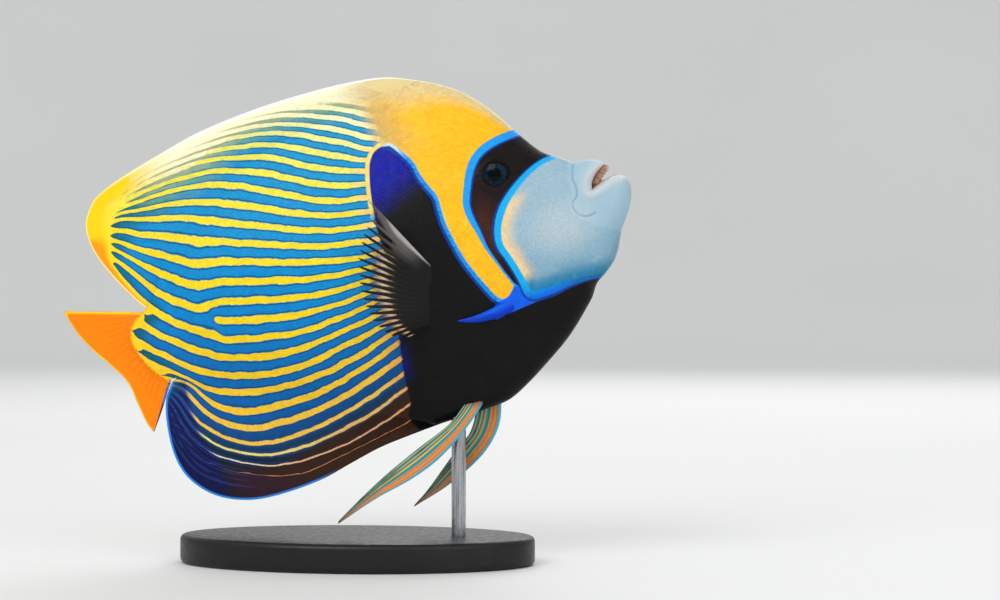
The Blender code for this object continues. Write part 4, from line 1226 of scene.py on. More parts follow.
@dataclass(frozen=True)
class SkinFinish:
    """Colours of the skin and its scales, laid in order from the striped flank to the face."""

    name: str = "fish_skin"
    blue: Sequence[tuple[float, str]] = (
        (0.0, "1098C8"), (0.2, "0C94CC"), (0.4, "0790D0"), (0.55, "0584CC"), (0.66, "0672BC"),
        (0.75, "0664B0"), (0.8, "08549A"), (0.85, "0A3E68"), (0.9, "0C2438"), (0.95, "12182A"),
        (1.0, "16121A"))
    yellow: Sequence[tuple[float, str]] = (
        (0.0, "FAF4BE"), (0.06, "F0EC9C"), (0.13, "ECE868"), (0.22, "F2E444"), (0.45, "FADC1C"),
        (0.62, "FBD41C"), (0.75, "FACC30"), (0.833, "F8C84C"), (0.875, "F2DC80"), (0.917, "E4E0D0"),
        (0.958, "525C78"), (1.0, "2C3A66"))
    stripe_shade: str = "084C64"
    ember: str = "FACB92"
    ember_low: str = "EC9C4C"
    cream: str = "FBF5CE"
    cream_line: str = "BCB080"
    cream_line_deep: str = "84986C"
    teal_grey: str = "68A496"
    tan_grey: str = "A8B48C"
    gloom: str = "0A5850"
    lobe: str = "F9D210"
    lobe_low: str = "FF9E0A"
    nape: str = "FFBE1C"
    nape_light: str = "FFC830"
    nape_pale: str = "E2CC90"
    nape_tan: str = "D2AC58"
    navy: str = "080E48"
    navy_line: str = "28479C"
    rust: str = "38200F"
    rust_stripe: str = "EE9C54"
    maroon: str = "33182C"
    patch_blue: str = "000E9A"
    patch_black: str = "0A090B"
    chest: str = "14100E"
    belly_blue: str = "08147C"
    line_blue: str = "1C9EF0"
    line_shade: str = "0A3C9A"
    line_cream: str = "F8DC6C"
    line_pale: str = "CFECEC"
    mask: str = "120B0B"
    mask_warm: str = "4A241A"
    cyan: str = "10B0F0"
    royal: str = "0838D8"
    azure: str = "0A60EA"
    ring_low: str = "186AA8"
    # Painted shade along the chin's front
    chin_blue: str = "2A6C94"
    face: str = "9EBCCC"
    face_pale: str = "BECDD4"
    face_peach: str = "F4D29A"
    face_chin: str = "5C98B8"
    face_low: str = "2080AC"
    face_cool: str = "B4C8D0"
    lips: str = "D2D2D0"
    # Painted shade along the lip groove
    crease: str = "3A7896"
    mouth: str = "C48E7C"
    # Painted shade deep inside the mouth, and the gums' own mottle
    mouth_dark: str = "5A2C24"
    tail: str = "FF8600"
    tail_ray: str = "F47400"
    tail_edge: str = "FFC81E"
    # The dorsal fin's own pale margin, and a painted highlight along the nape's and forehead's top edge
    rim_white: str = "F6F7EE"
    rim_gold: str = "FBE98C"
    rim_blue: str = "2A88EA"
    scale_depth: float = 0.10
    scale_shade: float = 0.08

    def striped(self, g: Graph) -> Socket:
        """Paints the flank with its stripes, and their faint ends on the anal fin.

        Args:
            g: The finish's graph.

        Returns:
            The paint so far.
        """
        level, ending, rust = g.value("level"), g.value("ending"), g.value("rust")
        angle = g.math("ARCTAN2", g.value("stripe_sin"), g.value("stripe_cos"))
        waved = g.math("ARCCOSINE", g.math("COSINE", g.plus(angle, g.cloud(9, 2, 1.6))))
        away_from_stripe = g.math("DIVIDE", waved, math.pi)
        edge = g.plus(g.minus(away_from_stripe, g.value("stripe_reach")), g.cloud(1.1, 1, 0.08))
        blue = g.over(g.stops(level, self.blue), self.navy, ending, 0.9)
        blue = g.over(blue, self.rust, rust, 0.9)
        blue = g.over(blue, self.maroon, g.value("maroon"), 0.7)
        blue = g.over(blue, self.gloom, g.value("gloom"), 0.8)
        ember = g.over(self.ember, self.ember_low, g.step(level, 0.55, 0.72))
        warm = g.over(g.stops(level, self.yellow), ember, g.step(g.value("patch"), -14, -1, 0.0, 0.65))
        warm = g.over(warm, self.rust_stripe, rust, 0.7)
        warm = g.over(warm, self.navy_line, ending, g.step(level, 0.72, 0.80))
        striped = g.over(blue, self.stripe_shade, g.band(edge, 0.07, 0.22, 0.06),
                         g.step(level, 0.86, 0.93, 0.8, 0.0))
        striped = g.over(striped, warm, g.drop(edge, -0.04, 0.045))
        fine = g.band(g.math("ABSOLUTE", g.math("SINE", angle)), 0.93, 1.5, 0.06)
        return g.over(striped, self.navy_line, fine, g.step(rust, 0.1, 0.8, 0.35, 0.0), g.value("navy"))

    def back(self, g: Graph, under: Paint) -> Socket:
        """Paints the pale top of the dorsal fin, its yellow lobe and the yellow nape, and the white rim along
        the top edge, which along the nape and forehead is a painted highlight.

        Args:
            g: The finish's graph.
            under: What they are laid over.

        Returns:
            The paint so far.
        """
        pale, gild, stripe = g.value("pale"), g.value("gild"), g.value("stripe_cos")
        level, inland = g.value("level"), g.value("nape")
        soft = g.plus(pale, g.cloud(3.5, 3, 0.7))
        veil = g.over(self.teal_grey, self.tan_grey, g.drop(soft, 0.9, 1.7))
        painted = g.over(under, veil, g.step(soft, 1.3, 2.5, 0.95, 0.0), g.drop(stripe, -0.6, 0.2),
                         g.drop(gild, 0.5, 0.95))
        cream = g.over(self.cream, self.lobe, g.step(gild, 0.1, 0.95, 0.0, 0.95))
        line = g.over(self.cream_line, self.cream_line_deep, g.step(pale, 0.6, 0.95))
        cream = g.over(cream, line, g.step(stripe, -0.85, -0.1, 0.95, 0.0), g.step(pale, 0.3, 0.62),
                       g.step(level, -0.055, -0.035))
        painted = g.over(painted, cream, g.drop(soft, 0.75, 1.15))
        golden = g.over(self.lobe_low, self.lobe, g.step(level, 0.50, 0.36))
        painted = g.over(painted, golden, g.drop(g.value("lobe"), 0.6, 1.25))
        nape = g.over(self.nape, self.nape_light, g.step(g.noise(7, 3), 0.45, 0.75, 0.0, 0.6))
        mottled = g.plus(g.value("nape_pale"), g.cloud(5, 4, 0.3))
        nape = g.over(nape, self.nape_pale, g.step(mottled, 0.0, 0.8))
        nape = g.over(nape, self.nape_tan, g.value("nape_tan"), 0.75)
        painted = g.over(painted, nape, g.step(inland, -7, 4))
        # White rim: the dorsal fin's own pale margin; along the nape's and forehead's top edge it is a
        # painted highlight
        rim = g.over(self.rim_white, self.rim_gold, gild)
        rim = g.over(rim, self.nape_pale, g.step(inland, 4, 40, 0.0, 0.7))
        return g.over(painted, rim, g.drop(g.value("rim"), 0.5, 1.15))

    def dark(self, g: Graph, under: Paint) -> Socket:
        """Paints the dark patch behind the gill cover, chest and belly, with their bright borders.

        Args:
            g: The finish's graph.
            under: What they are laid over.

        Returns:
            The paint so far.
        """
        depth, front = g.value("patch"), g.value("patch_front")
        low, top = g.value("patch_low"), g.value("patch_top")
        high, behind = g.minus(1.0, low), g.minus(1.0, front)
        deep = g.over(self.patch_blue, self.patch_black, low)
        deep = g.over(deep, self.chest, g.step(g.noise(14, 3), 0.45, 0.75, 0.0, 0.5), low)
        deep = g.over(deep, self.belly_blue, g.value("belly_glow"), g.step(depth, 2, 12, 0.8, 0))
        soft = g.plus(g.times(front, 0.2), g.times(high, 0.2))
        border = g.plus(depth, g.cloud(2.4, 2, g.minus(2.4, g.times(soft, 8))))
        painted = g.over(under, deep, g.step(border, -0.7, 0.7))
        painted = g.over(painted, self.line_shade, g.band(depth, 0.6, 3.0, 0.5), front)
        line = g.over(self.line_blue, self.line_pale, top, 0.85)
        painted = g.over(painted, line, g.band(depth, -0.9, g.minus(1.5, g.times(top, 0.8)), 0.4), front,
                         g.step(g.value("deep"), 0.0, 1.0, 1.0, 0.45))
        return g.over(painted, self.line_cream, g.band(depth, -1.9, 0.4, 0.4), behind,
                      g.step(high, 0.2, 0.75))

    def head(self, g: Graph, under: Paint) -> Socket:
        """Paints eye band, pale face and the bright lines round them, with painted shade along the lip
        groove, along the chin's front and deep inside the mouth.

        Args:
            g: The finish's graph.
            under: What they are laid over.

        Returns:
            The paint so far.
        """
        line, near, mouth = g.value("mask_line"), g.value("face_line"), g.value("mouth")
        depth, chin = g.value("face"), g.value("chin")
        mask = g.over(self.mask, self.mask_warm, g.value("mask_warm"),
                      g.step(g.noise(6, 3), 0.3, 0.7, 0.6, 1.0))
        painted = g.over(under, mask, g.step(g.value("mask"), -0.3, 0.3))
        painted = g.over(painted, self.line_shade, g.band(line, 0.95, 1.22, 0.1))
        painted = g.over(painted, self.line_blue, g.band(line, 0.0, 0.98, 0.10))
        painted = g.over(painted, self.azure, g.step(g.value("corner"), -0.5, 0.4))
        painted = g.over(painted, self.line_shade, g.band(near, 0.95, 1.3, 0.12), 0.9)
        ring = g.over(self.cyan, self.royal, g.value("deep"))
        ring = g.over(ring, self.ring_low, g.value("ring_dim"))
        painted = g.over(painted, ring, g.band(near, -0.04, 1.0, 0.08))
        skin = g.over(self.face, self.face_chin, chin, g.step(depth, 0, 15, 0.95, 0.4))
        skin = g.over(skin, self.face_pale, g.value("blush"), 0.7)
        skin = g.over(skin, self.face_low, chin, g.step(depth, 0, 9, 0.95, 0.0))
        skin = g.over(skin, self.face_peach, g.step(depth, 0.5, 9.5, 0.95, 0.0),
                      g.step(g.value("peach"), 0, 1))
        skin = g.over(skin, self.face_cool, g.step(g.noise(8, 4), 0.5, 0.8, 0.0, 0.35))
        skin = g.over(skin, self.lips, g.value("lips"), 0.75)
        # Painted shade: a darker blue line along the lip groove, where the groove lies in shade
        skin = g.over(skin, self.crease, g.value("crease"), 0.5)
        # Painted shade: a soft darker blue line along the chin's front, where the jaw turns away from the
        # light
        skin = g.over(skin, self.chin_blue, g.step(g.value("chin_line"), 0.0, 3.0, 0.2, 0.0))
        painted = g.over(painted, skin, g.step(depth, -0.35, 0.25))
        # Painted shade: the inside of the mouth darkens towards its back, where it lies in shade; the mottle
        # laid next is the gums' own uneven colour
        gums = g.over(self.mouth, self.mouth_dark, g.step(mouth, 0.45, 1.0, 0.0, 0.6))
        gums = g.over(gums, self.mouth_dark, g.step(g.noise(1.2, 2), 0.45, 0.75, 0.0, 0.5))
        return g.over(painted, gums, g.step(mouth, 0.1, 0.5))

    def fins(self, g: Graph, under: Paint) -> Socket:
        """Paints the orange tail fin and the anal fin's blue edge.

        Args:
            g: The finish's graph.
            under: What they are laid over.

        Returns:
            The paint so far.
        """
        tail = g.value("tail")
        orange = g.over(self.tail, self.tail_ray, g.step(g.value("crest"), 0.1, 0.8, 0.0, 0.6))
        orange = g.over(self.tail_edge, orange, g.step(g.value("tail_edge"), 0.4, 1.1))
        orange = g.over(orange, self.tail_edge, g.step(g.value("tail_root"), 0.5, 1.2, 0.85, 0.0))
        painted = g.over(under, self.rim_blue, g.drop(g.value("low_rim"), 0.7, 1.6),
                         g.drop(tail, -0.6, -0.1), g.value("low_rear"))
        return g.over(painted, orange, g.step(tail, -0.3, 0.4))

    def material(self) -> Material:
        """Makes the finish of skin and scales.

        Returns:
            The finish.
        """
        g = Graph(self.name, specular=0.14)
        painted = self.head(g, self.dark(g, self.back(g, self.fins(g, self.striped(g)))))
        painted = g.brightened(painted, g.math("MULTIPLY_ADD", g.value("shade"), self.scale_shade, 1.0))
        g.bump(g.plus(g.cells(0.9), g.times(g.noise(2.5, 3), 0.6)), self.scale_depth, 0.5)
        return g.finish(painted, g.step(g.noise(4, 3), 0.3, 0.75, 0.38, 0.52))


@dataclass
class ScaleCoat:
    """Overlapping scales, each a thin closed tile with a round rear edge, over the skin."""

    flesh: Flesh
    markings: Markings
    length: float = 2.3
    breadth: float = 2.1
    overlap: float = 1.5
    lap: float = 1.16
    lift: float = 0.27
    sunk: float = 0.13
    dome: float = 0.07
    jitter: float = 0.10
    bake_patch: float = 0.0024
    fin_cover: float = 0.72
    tail_cover: float = 0.2
    fin_shrink: float = 0.62
    fin_fade: float = 0.55
    smallest: Pair = (0.35, 0.3)
    narrowest: float = 4.0
    edge_gap: float = 0.7
    groove_gap: float = 1.2
    nostril_gap: float = 0.9
    face_border: float = -3.2
    smoothing: int = 12
    on_face: bool = False
    outline: Outline = (
        (0.72, 0.0), (0.52, 0.34), (0.12, 0.5), (-0.38, 0.34), (-0.38, -0.34), (0.12, -0.5), (0.52, -0.34))
    centre: Pair = (0.1, 0.0)

    def ring(self) -> Array:
        """Corners of one scale (rearward, sideward), the middles of its dome and underside last."""
        return np.vstack([self.outline, [self.centre, self.centre]])

    def shrink(self, patch: Patch) -> float:
        """Size of a patch's scales beside those of the trunk."""
        return self.fin_shrink if patch.share is not None else 1.0

    def sampled(self, patch: Patch) -> tuple[Array, Array]:
        """Evens out a patch up the flank.

        Args:
            patch: Stretch of skin.

        Returns:
            Points by column and row, a row every scale's breadth, and the girth below each column's rows.
        """
        points = patch.points()
        girth = np.array([travelled(column) for column in points])
        rows = max(int(np.percentile(girth[:, -1], 80) / (self.breadth * self.shrink(patch))), 4)
        own = np.arange(points.shape[1])
        at = np.array([np.interp(even(rows) * length[-1], length, own) for length in girth])
        reach = self.smoothing
        padded = np.pad(at, ((reach, reach), (0, 0)), "edge")
        at = np.mean([padded[k:k + len(at)] for k in range(2 * reach + 1)], axis=0)
        low = np.minimum(at.astype(int), len(own) - 2)
        mix = (at - low)[..., None]
        who = np.arange(len(points))[:, None]
        evened = points[who, low] * (1 - mix) + points[who, low + 1] * mix
        return evened, girth[:, -1:] * even(rows)[None]

    def roots(self, patch: Patch, rng: np.random.Generator) -> dict[str, Array]:
        """Works out where the scales of a patch grow.

        Args:
            patch: Stretch of skin.
            rng: Seeded source of the scales' small differences.

        Returns:
            Each scale's place, rearward, sideward and outward vectors, girth and share of the fin.
        """
        points, girth = self.sampled(patch)
        columns, rows = points.shape[:2]
        run = np.linalg.norm(np.diff(points[:, rows // 2], axis=0), axis=1).sum()
        along = max(int(run / (self.length * self.shrink(patch))), 3)
        i, j = np.meshgrid(np.arange(along), np.arange(1, rows - 1), indexing="ij")
        s = (i + 0.5 + 0.5 * (j % 2)) / (along + 0.5) * (columns - 1)
        s = s + rng.uniform(-self.jitter, self.jitter, s.shape) * (columns - 1) / along
        s = np.clip(s, 0, columns - 1.001)
        low = s.astype(int)
        mix = (s - low)[..., None]

        def at(step: int) -> Array:
            """Places this many rows above the scales."""
            return points[low, j + step] * (1 - mix) + points[low + 1, j + step] * mix

        middle, foot, top = at(0), at(-1), at(1)
        ahead = (points[low + 1, j] - points[low, j]) * (columns - 1) / along
        side = (top - foot) / 2
        out = unit(np.cross(ahead, side))
        out *= np.where(out[..., 1:2] > 0, -1, 1)
        size = np.linalg.norm(ahead, axis=-1), np.linalg.norm(side, axis=-1)
        keep = (size[0] > self.smallest[0]) & (size[1] > self.smallest[1])
        keep &= np.minimum(*size) * self.narrowest > np.maximum(*size)
        where = middle[..., [0, 2]].reshape(-1, 2)
        face = depth_inside(where, smooth_line(self.markings.face))
        clear = [face > self.face_border if self.on_face else face < self.face_border,
                 np.abs(offset(where, self.flesh.free_edge)) > self.edge_gap,
                 away(where, self.flesh.groove) > self.groove_gap]
        nostrils = [(spot, radius + self.nostril_gap) for spot, radius in NOSTRILS]
        for spot, radius in ((EYE_PLACE, ORBIT_RADIUS), *nostrils):
            clear.append(np.linalg.norm(where - spot, axis=1) > radius)
        keep &= np.all(clear, axis=0).reshape(keep.shape)
        share = np.zeros(keep.shape)
        if patch.share is not None:
            share = j / (rows - 1)
            keep &= share < (self.tail_cover if patch.name == "tail" else self.fin_cover)
        values = {"place": middle, "back": -ahead, "side": side, "out": out, "girth": girth[low, j],
                  "share": share}
        return {name: value[keep] for name, value in values.items()}

    def tiles(self, roots: dict[str, Array], rng: np.random.Generator) -> tuple[Array, Array]:
        """Works out the scales' own forms.

        Args:
            roots: Where they grow, as roots() gives it.
            rng: Seeded source of the scales' small differences.

        Returns:
            Points by scale and corner, the last two being its dome and its underside, and its shade.
        """
        count = len(roots["place"])
        ring = self.ring()
        rearward = (ring[:, 0] - ring[:, 0].min()) / np.ptp(ring[:, 0])
        size = rng.uniform(1 - self.jitter, 1 + self.jitter, count)
        height = rearward * (self.lift + self.sunk) - self.sunk
        height = height + np.array([0.0] * len(self.outline) + [self.dome, -self.dome])
        height = height[None] * (1 - self.fin_fade * roots["share"])[:, None]
        back = ring[None, :, 0, None] * roots["back"][:, None] * self.overlap * size[:, None, None]
        side = ring[None, :, 1, None] * roots["side"][:, None] * self.lap
        points = roots["place"][:, None] + back + side + height[..., None] * roots["out"][:, None]
        return points, rng.uniform(-1, 1, count)

    def build(self, name: str, patches: Sequence[Patch], side: Side, finish: Material,
              unwrap: tuple[float, float, float, float]) -> bpy.types.Object:
        """Builds the scales of some patches on one side.

        Args:
            name: The piece's name.
            patches: Stretches of skin.
            side: Side of the fish.
            finish: The finish that skin and scales share.
            unwrap: Left, foot, width and height of the room for this piece on the bake's map.

        Returns:
            The piece.
        """
        rng = np.random.default_rng(SEED + len(name))
        grown = [self.roots(patch, rng) for patch in patches]
        roots = {key: np.concatenate([one[key] for one in grown]) for key in grown[0]}
        points, shade = self.tiles(roots, rng)
        count, corners = points.shape[:2]
        ring = corners - 2
        places = points.reshape(-1, 3) * (1, -side.value, 1)
        first = (np.arange(count) * corners)[:, None, None]
        edge = np.arange(ring)
        following = (edge + 1) % ring
        dome = np.stack([edge, following, np.full(ring, ring)], axis=1)
        underside = np.stack([following, edge, np.full(ring, ring + 1)], axis=1)
        faces = first + np.concatenate([dome, underside])[None]
        if side is Side.LEFT:
            faces = faces[..., ::-1]
        mesh = bpy.data.meshes.new(name)
        mesh.from_pydata(placed(places), [], faces.reshape(-1, 3).tolist())
        fields = self.markings.fields(points.reshape(-1, 3)[:, [0, 2]], self.flesh)
        fields["shade"] = np.repeat(shade, corners)
        keep_fields(mesh, fields)
        self.unwrap(mesh, roots, points, unwrap)
        return finished(mesh, finish, 50.0)

    def unwrap(self, mesh: bpy.types.Mesh, roots: dict[str, Array], points: Array,
               room: tuple[float, float, float, float]) -> None:
        """Gives each scale a small patch of the bake's map, at its root on the unrolled flank.

        Args:
            mesh: The scales' mesh.
            roots: Where they grow.
            points: Their points by scale and corner. Not used.
            room: Left, foot, width and height of this piece's room on the map.
        """
        left, low, width, height = room
        forward = roots["place"][:, 0]
        across = (forward - forward.min()) / max(np.ptp(forward), 1)
        girth = roots["girth"]
        upward = (girth - girth.min()) / max(np.ptp(girth), 1)
        root = np.stack([left + across * width, low + upward * height], axis=1)
        corner_place = (root[:, None] + self.ring() * self.bake_patch).reshape(-1, 2)
        corner = np.zeros(len(mesh.loops), np.int32)
        mesh.loops.foreach_get("vertex_index", corner)
        layer = mesh.uv_layers.new(name="OFBake")
        layer.uv.foreach_set("vector", corner_place[corner].astype(np.float32).ravel())


@dataclass(frozen=True)
class EyeFinish:
    """Wet dark eye: black pupil, dim blue iris with a thin bronze ring."""

    name: str = "fish_eye"
    pupil: str = "010509"
    ring: str = "0A1822"
    iris: str = "021220"
    iris_light: str = "06304A"
    rim: str = "070506"

    def material(self) -> Material:
        """Makes the finish.

        Returns:
            The finish.
        """
        g = Graph(self.name, roughness=0.12, specular=0.09)
        radius = g.value("radius")
        iris = g.over(self.iris, self.iris_light, g.step(g.noise(1.6, 4), 0.4, 0.7, 0.0, 0.8))
        painted = g.over(self.pupil, self.ring, g.step(radius, 0.40, 0.43))
        painted = g.over(painted, iris, g.step(radius, 0.44, 0.48))
        painted = g.over(painted, self.rim, g.step(radius, 0.66, 0.76))
        return g.finish(painted)


@dataclass
class Eye:
    """Eyeball with its low cornea, seated in the orbit."""

    side: Side
    flesh: Flesh
    segments: int = 64
    rings: int = 40

    def build(self, finish: Material) -> bpy.types.Object:
        """Builds the eye.

        Args:
            finish: The eye's finish.

        Returns:
            The piece.
        """
        surface = self.flesh.half_width(np.array([EYE_PLACE]))[0]
        aside = self.side.value * (surface + EYE_PROUD - EYE_HALF_SIZE[1])
        centre = np.array([EYE_PLACE[0], aside, EYE_PLACE[1]])
        body = bmesh.new()
        bmesh.ops.create_uvsphere(body, u_segments=self.segments, v_segments=self.rings, radius=1)
        radius = body.verts.layers.float.new("radius")
        for vertex in body.verts:
            forward, up, out = vertex.co
            vertex[radius] = math.hypot(forward, up) if out > 0 else 1.0
            local = np.array([forward, self.side.value * out, up]) * EYE_HALF_SIZE
            vertex.co = placed(centre + local)
        eye = finished(mesh_of(f"eyeball_{self.side.word}", body), finish)
        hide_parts(f"eye_{self.side.word}")
        return eye


@dataclass(frozen=True)
class TeethFinish:
    """Amber-pink bristles with paler tips."""

    name: str = "bristle_teeth"
    foot: str = "A8705C"
    tip: str = "E4C4A8"

    def material(self) -> Material:
        """Makes the finish.

        Returns:
            The finish.
        """
        g = Graph(self.name, roughness=0.4, specular=0.25)
        painted = g.over(self.foot, self.tip, g.step(g.value("along"), 0.2, 1.0))
        return g.finish(g.over(painted, self.foot, g.step(g.noise(1.0, 2), 0.4, 0.7, 0.0, 0.6)))


@dataclass(frozen=True)
class JawTeeth:
    """Bristle teeth of one jaw, in rows from the lip inward; lean is (forward, up)."""

    lip: Outline
    rows: int
    length: float
    sunk: float
    lean: Pair


@dataclass
class Teeth:
    """Horseshoe bands of bristle teeth behind both lips."""

    flesh: Flesh
    jaws: Sequence[JawTeeth] = (JawTeeth(UPPER_LIP_EDGE, 4, 3.2, 0.7, (0.80, -0.60)),
                                JawTeeth(LOWER_LIP_EDGE, 2, 1.5, 2.6, (0.30, 0.95)))
    row_step: float = 0.75
    spacing: float = 0.55
    radius: float = 0.26
    start: float = 0.30
    rim_share: float = 0.8
    root_length: float = 0.8
    tip_share: float = 0.3
    lean_spread: float = 0.10
    length_spread: Pair = (0.85, 1.1)
    lip_steps: int = 60
    sides: int = 5

    def feet(self, jaw: JawTeeth, row: int) -> Array:
        """Works out the feet of one row on the right half of a jaw.

        Args:
            jaw: The jaw's teeth.
            row: Number of the row from the lip inward.

        Returns:
            Places (forward, leftward, up), from the corner forward to the middle plane.
        """
        spot = spaced(jaw.lip, self.start + (1 - self.start) * even(self.lip_steps))
        plain = self.flesh.lipped_width(spot, jaw.lip)
        aside = np.maximum(plain * self.rim_share - self.row_step * row, 0)
        spot = spot + unit(MOUTH_CORNER - spot) * (jaw.sunk + self.row_step * row)
        line = np.stack([spot[:, 0], -aside, spot[:, 1]], axis=1)
        line[-1, 1] = 0
        return places_on(line, np.arange(self.spacing / 2, travelled(line)[-1], self.spacing))

    def build(self, finish: Material) -> bpy.types.Object:
        """Builds the teeth of both jaws.

        Args:
            finish: Their finish.

        Returns:
            The piece.
        """
        rng = np.random.default_rng(SEED)
        body = bmesh.new()
        along = body.verts.layers.float.new("along")
        for jaw, row in [(jaw, row) for jaw in self.jaws for row in range(jaw.rows)]:
            half = self.feet(jaw, row)
            for foot in np.vstack([half, half * (1, -1, 1)]):
                way = np.array([jaw.lean[0], 0, jaw.lean[1]]) + rng.normal(0, self.lean_spread, 3)
                way /= np.linalg.norm(way)
                reach = jaw.length * rng.uniform(*self.length_spread)
                start, end = (Vector(placed(foot + way * run)) for run in (-self.root_length, reach))
                length = (end - start).length
                turn = (end - start).to_track_quat("Z", "Y").to_matrix().to_4x4()
                turn.translation = (start + end) / 2
                made = bmesh.ops.create_cone(body, cap_ends=True, segments=self.sides,
                                             radius1=self.radius * MILLIMETRE,
                                             radius2=self.radius * self.tip_share * MILLIMETRE,
                                             depth=length, matrix=turn)["verts"]
                for vertex in made:
                    vertex[along] = float((vertex.co - start).length > length / 2)
        return finished(mesh_of("bristle_teeth", body), finish, 40.0)


@dataclass(frozen=True)
class SpineFinish:
    """Enamel-smooth blue spine, painted lighter on its top and darker on its underside as light and shade,
    and darker towards its tip.
    """

    name: str = "cheek_spine_blue"
    # Painted light on the spine's top, painted shade on its underside
    bright: str = "0A60EA"
    deep: str = "0438C8"
    tip: str = "0A3CB4"
    grain: str = "0A1880"

    def material(self) -> Material:
        """Makes the finish.

        Returns:
            The finish.
        """
        g = Graph(self.name, roughness=0.36, specular=0.12)
        # Painted light and shade: lighter on the spine's top and darker on its underside, as light falls from
        # above
        painted = g.over(self.deep, self.bright, g.step(g.value("height"), -0.5, 0.6))
        painted = g.over(painted, self.grain, g.step(g.noise(5, 3, (1, 1, 8), -NOSE_UP), 0.5, 0.7, 0.0, 0.5))
        painted = g.over(painted, self.tip, g.step(g.value("along"), 0.3, 0.9))
        g.bump(g.noise(1.5, 2, (1, 1, 6), -NOSE_UP), 0.08)
        return g.finish(painted)


@dataclass
class CheekSpine:
    """Spine at the lower rear corner of the cheek: a flattened thorn that lies back over the gill edge."""

    side: Side
    flesh: Flesh
    line: Outline = ((206, -43.4), (198, -44.2), (190, -45.2), (181.5, -45.4), (174, -44.6), (167, -42.9))
    half_height: Outline = ((0, 3.2), (0.3, 3.3), (0.45, 3.1), (0.7, 2.2), (0.88, 1.2), (1, 0.4))
    half_depth: Outline = ((0, 1.4), (0.3, 2.3), (0.6, 2.0), (0.85, 1.1), (1, 0.4))
    lift: Outline = ((0, -4.6), (0.12, -2.6), (0.3, 0.4), (0.5, 1.8), (1, 1.6))
    round_share: float = 0.08
    segments: int = 28
    rings: int = 40

    def build(self, finish: Material) -> bpy.types.Object:
        """Builds the spine.

        Args:
            finish: The spine's finish.

        Returns:
            The piece.
        """
        body = bmesh.new()
        bmesh.ops.create_uvsphere(body, u_segments=self.segments, v_segments=self.rings, radius=1)
        layers = body.verts.layers.float
        height, along = layers.new("height"), layers.new("along")
        round_places = np.array([vertex.co for vertex in body.verts])
        share = np.arccos(np.clip(round_places[:, 2], -1, 1)) / math.pi
        round_end = dome(share / self.round_share)
        ring = np.hypot(round_places[:, 0], round_places[:, 1])
        circle = round_places[:, :2] / np.maximum(ring, TINY)[:, None] * (ring > TINY)[:, None]
        spot = spaced(self.line, share)
        up = ramp(self.half_height, share) * round_end * circle[:, 1]
        out = ramp(self.half_depth, share) * round_end * circle[:, 0]
        aside = self.flesh.half_width(spot) + ramp(self.lift, share) + out
        points = placed(np.stack([spot[:, 0], self.side.value * aside, spot[:, 1] + up], axis=1))
        for vertex, point, turn, way in zip(body.verts, points, circle[:, 1], share):
            vertex.co = point
            vertex[height] = turn
            vertex[along] = way
        bmesh.ops.remove_doubles(body, verts=body.verts[:], dist=MERGE_DISTANCE)
        spine = finished(mesh_of(f"cheek_thorn_{self.side.word}", body), finish)
        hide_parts(f"cheek_spine_{self.side.word}")
        return spine


@dataclass(frozen=True)
class PectoralFinish:
    """Black fin whose webs clear towards the margin, with a pale leading ray and painted peach highlight
    streaks on the webs part-way out.
    """

    name: str = "pectoral_fin_skin"
    dark: str = "0C0A0B"
    ray: str = "20140E"
    ray_tip: str = "4A4440"
    # Painted highlight on the webs
    streak: str = "F8D2A4"
    lead: str = "6B6560"
    pale: str = "A8A8A8"

    def material(self) -> Material:
        """Makes the finish.

        Returns:
            The finish.
        """
        g = Graph(self.name, roughness=0.42, specular=0.2)
        share, crest, across = g.value("share"), g.value("crest"), g.value("across")
        painted = g.over(self.dark, self.ray, g.step(share, 0.3, 0.8))
        painted = g.over(painted, self.ray_tip, g.step(share, 0.75, 1.0))
        narrow = g.minus(across, g.step(share, 0.5, 1.0, 0.0, 0.085))
        painted = g.over(painted, self.lead, g.step(narrow, 0.78, 0.95), g.step(share, 0.12, 0.4), 0.8)
        foot = g.minus(narrow, g.step(share, 0.0, 0.4, 0.018, 0.0))
        painted = g.over(painted, self.pale, g.step(foot, 0.945, 0.98), g.band(share, 0.10, 0.74, 0.12))
        web = g.drop(g.plus(share, g.times(across, -0.12)), 0.36, 0.44)
        thin = g.minus(crest, g.step(share, 0.36, 0.9, 0.0, 0.42))
        ray = g.times(g.step(thin, 0.04, 0.12), g.step(share, 0.7, 1.0, 1.0, 0.35))
        # Painted highlight: peach streaks on the webs part-way out, standing in for light caught on the fin;
        # they are also made opaque
        streak = g.times(g.step(thin, -0.06, 0.02, 0.8, 0.0), g.band(share, 0.46, 0.62, 0.09),
                         g.drop(narrow, 0.72, 0.84))
        painted = g.over(painted, self.streak, streak)
        edge = g.times(g.step(narrow, 0.90, 0.93), g.step(share, 0.85, 1.0, 1.0, 0.6))
        g.feed(g.shader.inputs["Alpha"], reduce(partial(g.math, "MAXIMUM"), (web, ray, streak, edge)))
        return g.finish(painted)


